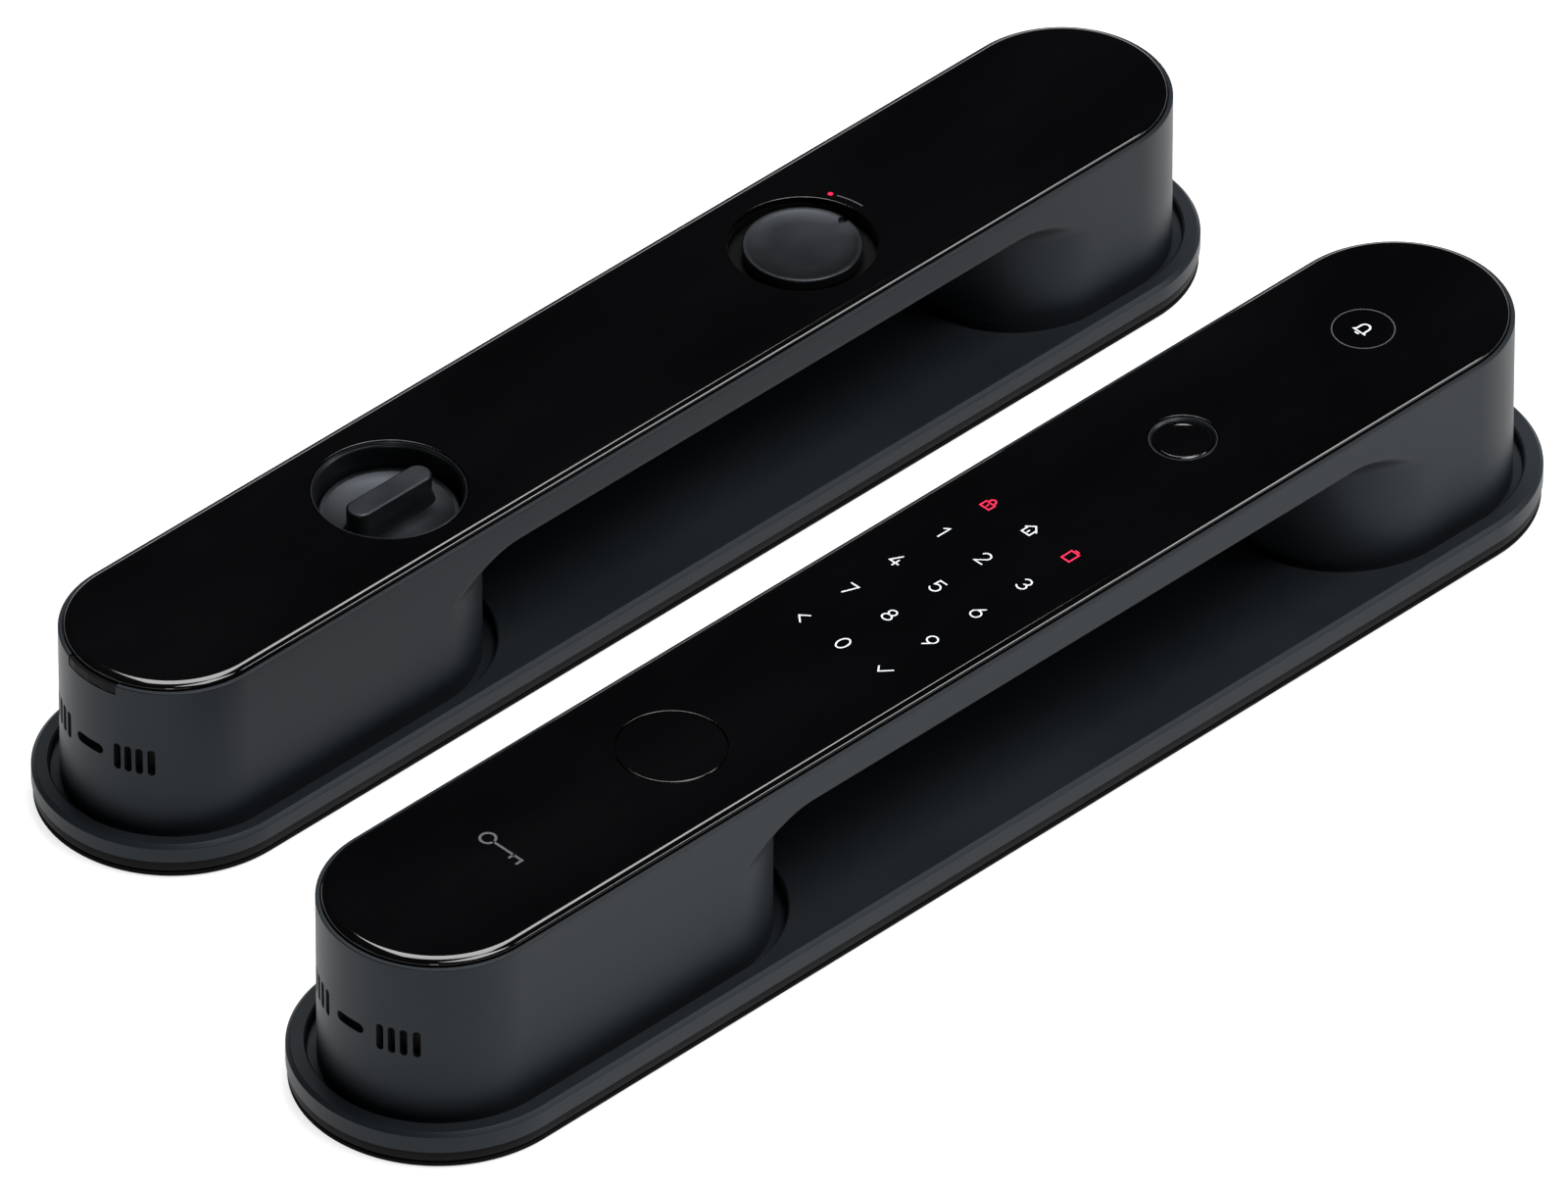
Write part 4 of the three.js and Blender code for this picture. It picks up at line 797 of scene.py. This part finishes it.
def bar_piece():
    """Grip bar: flat top with soft edges, upright sides, flaring into the dish."""
    high = turn_high.z / MM
    levels = [
        (4.7, 13.9, rim_z - 1.8),
        (4.6, 13.9, rim_z - 1.1),
        (4.15, 13.7, rim_z - 0.2),
        (3.75, 13.5, rim_z + 0.9),
        (3.5, 13.4, rim_z + 2.2),
        (3.5, 13.4, high - 0.6),
        (3.42, 13.32, high - 0.3),
        (3.2, 13.1, high - 0.08),
        (2.9, 12.8, high),
    ]
    points, faces = [], []
    for half_x, half_y, z in levels:
        points += bar_ring(half_x, half_y, min(half_x, 3.3), z)
    n = len(points) // len(levels)
    for r in range(len(levels) - 1):
        for i in range(n):
            faces.append((r * n + i, r * n + (i + 1) % n, (r + 1) * n + (i + 1) % n, (r + 1) * n + i))
    faces.append(tuple(reversed(range(n))))
    faces.append(tuple(range((len(levels) - 1) * n, len(levels) * n)))
    return raw_object("bar", points, faces)


carve(disc, [bar_piece()], "UNION")
finish_piece(disc, "thumb_turn", "dark_metal", nodes=["thumb_turn"], sharp=35)

knob_top = knob_high.z / MM
knob_foot = knob_top - 3.2
knob = lathe("privacy_knob_dial", inner.x, knob_y, [
    (0, knob_low.z / MM),
    (4, knob_low.z / MM),
    (4, knob_foot),
    (knob_r - 0.5, knob_foot),
    (knob_r, knob_foot + 0.5),
    *arc(knob_r - 0.5, knob_top - 0.5, 0.5, 0, 90, 5),
    (knob_r - 1.6, knob_top),
    (knob_r - 2.3, knob_top - 0.35),
    (knob_r * 0.6, knob_top - 0.5),
    (0, knob_top - 0.55),
], 128)
notch_low = knob_top - 1.2
notch = lathe("tool", inner.x, knob_y + knob_r - 1.2, [
    (0, notch_low),
    (1.0, notch_low),
    (1.2, notch_low + 0.3),
    (1.2, knob_top + 1),
    (0, knob_top + 1),
], 32)
carve(knob, [notch])
finish_piece(knob, "privacy_knob", "dark_metal", nodes=["privacy_knob"], sharp=35)


# ---------- marks on the glass ----------
CAP_STEPS = 8  # in a stroke's round end


def ribbon(points, width, closed=False):
    """A flat stroke: outline points of a line of (x, y) with round caps."""
    n = len(points)
    left, right = [], []
    for i, p in enumerate(points):
        before = points[(i - 1) % n] if closed or i else None
        after = points[(i + 1) % n] if closed or i < n - 1 else None
        directions = []
        if before:
            directions.append((Vector(p) - Vector(before)).normalized())
        if after:
            directions.append((Vector(after) - Vector(p)).normalized())
        heading = sum(directions, Vector((0, 0))).normalized()
        across = Vector((-heading.y, heading.x))
        stretch = 1 / max(0.5, across.dot(Vector((-directions[0].y, directions[0].x))))
        left.append(Vector(p) + across * width / 2 * stretch)
        right.append(Vector(p) - across * width / 2 * stretch)
    verts = left + right
    faces = [(i, (i + 1) % n, n + (i + 1) % n, n + i) for i in range(n if closed else n - 1)]
    if not closed:
        for end, step in ((0, 1), (n - 1, -1)):
            back = (Vector(points[end]) - Vector(points[end + step])).normalized()
            start = math.atan2(back.y, back.x) - math.pi / 2
            turns = [start + math.pi * k / CAP_STEPS for k in range(CAP_STEPS + 1)]
            cap = [Vector(points[end]) + Vector((math.cos(a), math.sin(a))) * width / 2 for a in turns]
            faces.append(tuple(range(len(verts), len(verts) + len(cap))))
            verts += cap
    return verts, faces


def curve_of(cx, cy, rx, ry, start, end, count=20):
    angles = [math.radians(start + (end - start) * i / count) for i in range(count + 1)]
    return [(cx + rx * math.cos(a), cy + ry * math.sin(a)) for a in angles]


def loop_of(cx, cy, rx, ry, count=48):
    return curve_of(cx, cy, rx, ry, 0, 360, count)[:-1]


# Each glyph is a list of (points, closed), drawn about its own middle.
GLYPHS = {
    "0": [(loop_of(0, 0, 1.75, 2.6), True)],
    "1": [([(-1.1, 1.5), (0.35, 2.6), (0.35, -2.6)], False)],
    "2": [(curve_of(0, 1.05, 1.6, 1.55, 165, -35) + [(-1.6, -2.6), (1.7, -2.6)], False)],
    "3": [(
        curve_of(-0.05, 1.25, 1.5, 1.35, 150, -90) + curve_of(-0.05, -1.2, 1.7, 1.4, 90, -150)[1:],
        False,
    )],
    "4": [
        ([(0.6, -2.6), (0.6, -1.2)], False),
        ([(0.2, 2.6), (-1.8, -1.2), (1.8, -1.2)], False),
        ([(0.6, 0.5), (0.6, -1.2)], False),
    ],
    "5": [(
        [(1.4, 2.6), (-1.2, 2.6), (-1.4, 0.3)] + curve_of(-0.05, -0.9, 1.75, 1.7, 125, -150)[1:],
        False,
    )],
    "6": [([(0.9, 2.6)] + curve_of(0, -0.9, 1.75, 1.7, 150, 510, 40), False)],
    "7": [([(-1.6, 2.6), (1.6, 2.6), (-0.5, -2.6)], False)],
    "8": [(loop_of(0, 1.35, 1.35, 1.25), True), (loop_of(0, -1.25, 1.7, 1.35), True)],
    "9": [([(-0.9, -2.6)] + curve_of(0, 0.9, 1.75, 1.7, -30, 330, 40), False)],
    "back": [([(1.1, 2.0), (-1.3, 0), (1.1, -2.0)], False)],
    "check": [([(-2.0, 0.1), (-0.5, -1.6), (2.2, 1.6)], False)],
    "house": [
        ([(-2.1, 0.2), (0, 2.2), (2.1, 0.2)], False),
        ([(-1.5, 0.5), (-1.5, -2.0), (1.5, -2.0), (1.5, 0.5)], False),
        ([(0, -0.4), (0, -1.2)], False),
    ],
    "lock": [
        ([(-1.7, 0.3), (1.7, 0.3), (1.7, -2.1), (-1.7, -2.1)], True),
        ([(-1.0, 0.3), (-1.0, 1.1)] + curve_of(0, 1.1, 1.0, 1.0, 180, 0)[1:] + [(1.0, 0.3)], False),
        ([(0, -0.6), (0, -1.2)], False),
    ],
    "battery": [
        ([(-1.5, -2.3), (1.5, -2.3), (1.5, 1.7), (-1.5, 1.7)], True),
        ([(-0.6, 2.4), (0.6, 2.4)], False),
    ],
    "bell": [
        (
            [(-1.9, -1.5), (-1.4, -0.9)] + curve_of(0, 0.5, 1.4, 1.5, 180, 0) + [(1.4, -0.9), (1.9, -1.5)],
            True,
        ),
        ([(-0.5, -2.3), (0.5, -2.3)], False),
    ],
    "key": [
        (loop_of(-5.6, 0, 2.0, 2.0), True),
        ([(-3.6, 0), (6.6, 0), (6.6, -1.9)], False),
        ([(3.6, 0), (3.6, -1.5)], False),
    ],
}
INK_LIFT = 0.02


def marks(name, strokes, x, y, z, width, look, slot, body, scale=1.0):
    """Strokes laid on a surface at height z, as one thin raised sheet."""
    points, faces = [], []
    for line, closed in strokes:
        verts, polys = ribbon([(px * scale, py * scale) for px, py in line], width, closed)
        base = len(points)
        points += [(x + v.x, y + v.y, z + INK_LIFT) for v in verts]
        faces += [tuple(base + i for i in poly) for poly in polys]
    mesh = bpy.data.meshes.new(name)
    mesh.from_pydata([Vector(p) * MM for p in points], [], faces)
    obj = bpy.data.objects.new(name, mesh)
    bpy.context.scene.collection.objects.link(obj)
    b = bmesh.new()
    b.from_mesh(mesh)
    for face in b.faces:
        if face.normal.z < 0:
            face.normal_flip()
    b.to_mesh(mesh)
    b.free()
    return finish_piece(obj, body, slot, look, weighted=False)


KEY_STEP_X = 14.5
ROW_YS = (37.8, 21.5, 5.3, -11.2, -27.4)
ROWS = (
    ("lock", "house", "battery"),
    ("1", "2", "3"),
    ("4", "5", "6"),
    ("7", "8", "9"),
    ("back", "0", "check"),
)
STROKE, RED_STROKE, BELL_STROKE = 0.44, 0.5, 0.5
DIGIT_SCALE, SYMBOL_SCALE = 0.82, 0.9
BELL_Y, BELL_RING, BELL_RING_STROKE = 155, 8, 0.28
KEY_MARK_Y, KEY_MARK_STROKE = -144, 0.7
PRIVACY_ARC = 23.2 * 0.934
PRIVACY_ARC_STROKE = 0.35
PRIVACY_TURN = math.radians(27)
DOT_RADIUS = 0.35
middle = (outer.low + outer.high) / 2


def outer_mark(name, strokes, x, y, width, look, scale=1.0):
    marks(name, strokes, outer.x + x, middle + y, top, width, look, "pale_plastic", "outer_unit", scale)


def cover_mark(name, strokes, width, look):
    marks(name, strokes, inner.x, knob_y, inner.glass_top, width, look, "pale_plastic", "battery_cover")


for y, keys in zip(ROW_YS, ROWS):
    for column, key in enumerate(keys):
        red = key in ("lock", "battery")
        outer_mark(
            "mark_" + key,
            GLYPHS[key],
            (column - 1) * KEY_STEP_X,
            y,
            RED_STROKE if red else STROKE,
            LIT_RED if red else LIT_WHITE,
            SYMBOL_SCALE if len(key) > 1 else DIGIT_SCALE,
        )
outer_mark("mark_bell", GLYPHS["bell"], 0, BELL_Y, BELL_STROKE, LIT_WHITE)
bell_ring = [(loop_of(0, 0, BELL_RING, BELL_RING, 96), True)]
outer_mark("ring_bell", bell_ring, 0, BELL_Y, BELL_RING_STROKE, FAINT_INK)
outer_mark("mark_key", GLYPHS["key"], 0, KEY_MARK_Y, KEY_MARK_STROKE, FAINT_INK)
privacy_arc = [(curve_of(0, 0, PRIVACY_ARC, PRIVACY_ARC, 92, 112), False)]
cover_mark("privacy_arc", privacy_arc, PRIVACY_ARC_STROKE, FAINT_INK)
spot = (-PRIVACY_ARC * math.sin(PRIVACY_TURN), PRIVACY_ARC * math.cos(PRIVACY_TURN))
dot = [(loop_of(*spot, DOT_RADIUS, DOT_RADIUS, 16), True)]
cover_mark("privacy_dot", dot, 2 * DOT_RADIUS, LIT_RED)

# ---------- floor, light and camera ----------
FLOOR_Z = -0.0005
FLOOR_SIZE = 6.0
FLOOR_STEPS = 24


def floor():
    steps, size = FLOOR_STEPS, FLOOR_SIZE
    points, faces = [], []
    for i in range(steps + 1):
        for j in range(steps + 1):
            points.append(Vector((size * (i / steps - 0.5), size * (j / steps - 0.5), FLOOR_Z)))
    for i in range(steps):
        for j in range(steps):
            a = i * (steps + 1) + j
            faces.append((a, a + steps + 1, a + steps + 2, a + 1))
    mesh = bpy.data.meshes.new("floor")
    mesh.from_pydata(points, [], faces)
    obj = bpy.data.objects.new("floor", mesh)
    bpy.context.scene.collection.objects.link(obj)
    look = material("floor", (0.5, 0.5, 0.5), 0.9)
    grain = noise(look, 8.0, 2.0)
    tint(look, grain, "Fac", (0.49, 0.49, 0.49), (0.51, 0.51, 0.51))
    shader_of(look).inputs["Emission Color"].default_value = (1, 1, 1, 1)
    shader_of(look).inputs["Emission Strength"].default_value = 0.8
    obj.data.materials.append(look)


floor()
world = bpy.data.worlds.new("studio")
world.use_nodes = True
world.node_tree.nodes["Background"].inputs["Color"].default_value = (0.9, 0.95, 1.0, 1)
world.node_tree.nodes["Background"].inputs["Strength"].default_value = 0.02
bpy.context.scene.world = world


def softbox(name, place, aim, size, energy):
    data = bpy.data.lights.new(name, "AREA")
    data.shape = "RECTANGLE"
    data.size, data.size_y = size
    data.energy = energy
    obj = bpy.data.objects.new(name, data)
    obj.location = place
    obj.rotation_mode = "QUATERNION"
    obj.rotation_quaternion = (Vector(aim) - Vector(place)).to_track_quat("-Z", "Y")
    bpy.context.scene.collection.objects.link(obj)


softbox("overhead", (0.75, 0.25, 2.3), (0, 0, 0), (1.2, 1.2), 46)
softbox("back", (-0.7, 0.68, 2.0), (0, 0, 0), (0.9, 0.9), 24)
softbox("edge", (1.15, 1.3, 1.5), (0, 0, 0), (0.5, 0.6), 11)
softbox("side", (1.7, 1.6, 0.55), (0, 0, 0.03), (0.7, 0.7), 5)
softbox("front", (1.55, -1.75, 0.45), (0, 0, 0.03), (0.3, 0.7), 5)
softbox("end", (-0.9, -2.1, 1.2), (0, 0, 0), (0.8, 0.3), 1.2)

AZIMUTH, ELEVATION = math.radians(45.95), math.radians(38.5)
TARGET = Vector((0.0119, -0.0014, 0.0291))
DISTANCE = 8.0
PIXELS_PER_METRE = 4074.0
IMAGE_WIDTH = 1600
back = Vector((
    math.sin(AZIMUTH) * math.cos(ELEVATION),
    -math.cos(AZIMUTH) * math.cos(ELEVATION),
    math.sin(ELEVATION),
))
camera = bpy.data.cameras.new("camera")
camera.sensor_width = 36
camera.lens = camera.sensor_width * PIXELS_PER_METRE * DISTANCE / IMAGE_WIDTH
camera.clip_end = 50
eye = bpy.data.objects.new("camera", camera)
eye.location = TARGET + back * DISTANCE
eye.rotation_mode = "QUATERNION"
eye.rotation_quaternion = (-back).to_track_quat("-Z", "Y")
bpy.context.scene.collection.objects.link(eye)
bpy.context.scene.camera = eye
bpy.context.scene.view_settings.view_transform = "Standard"
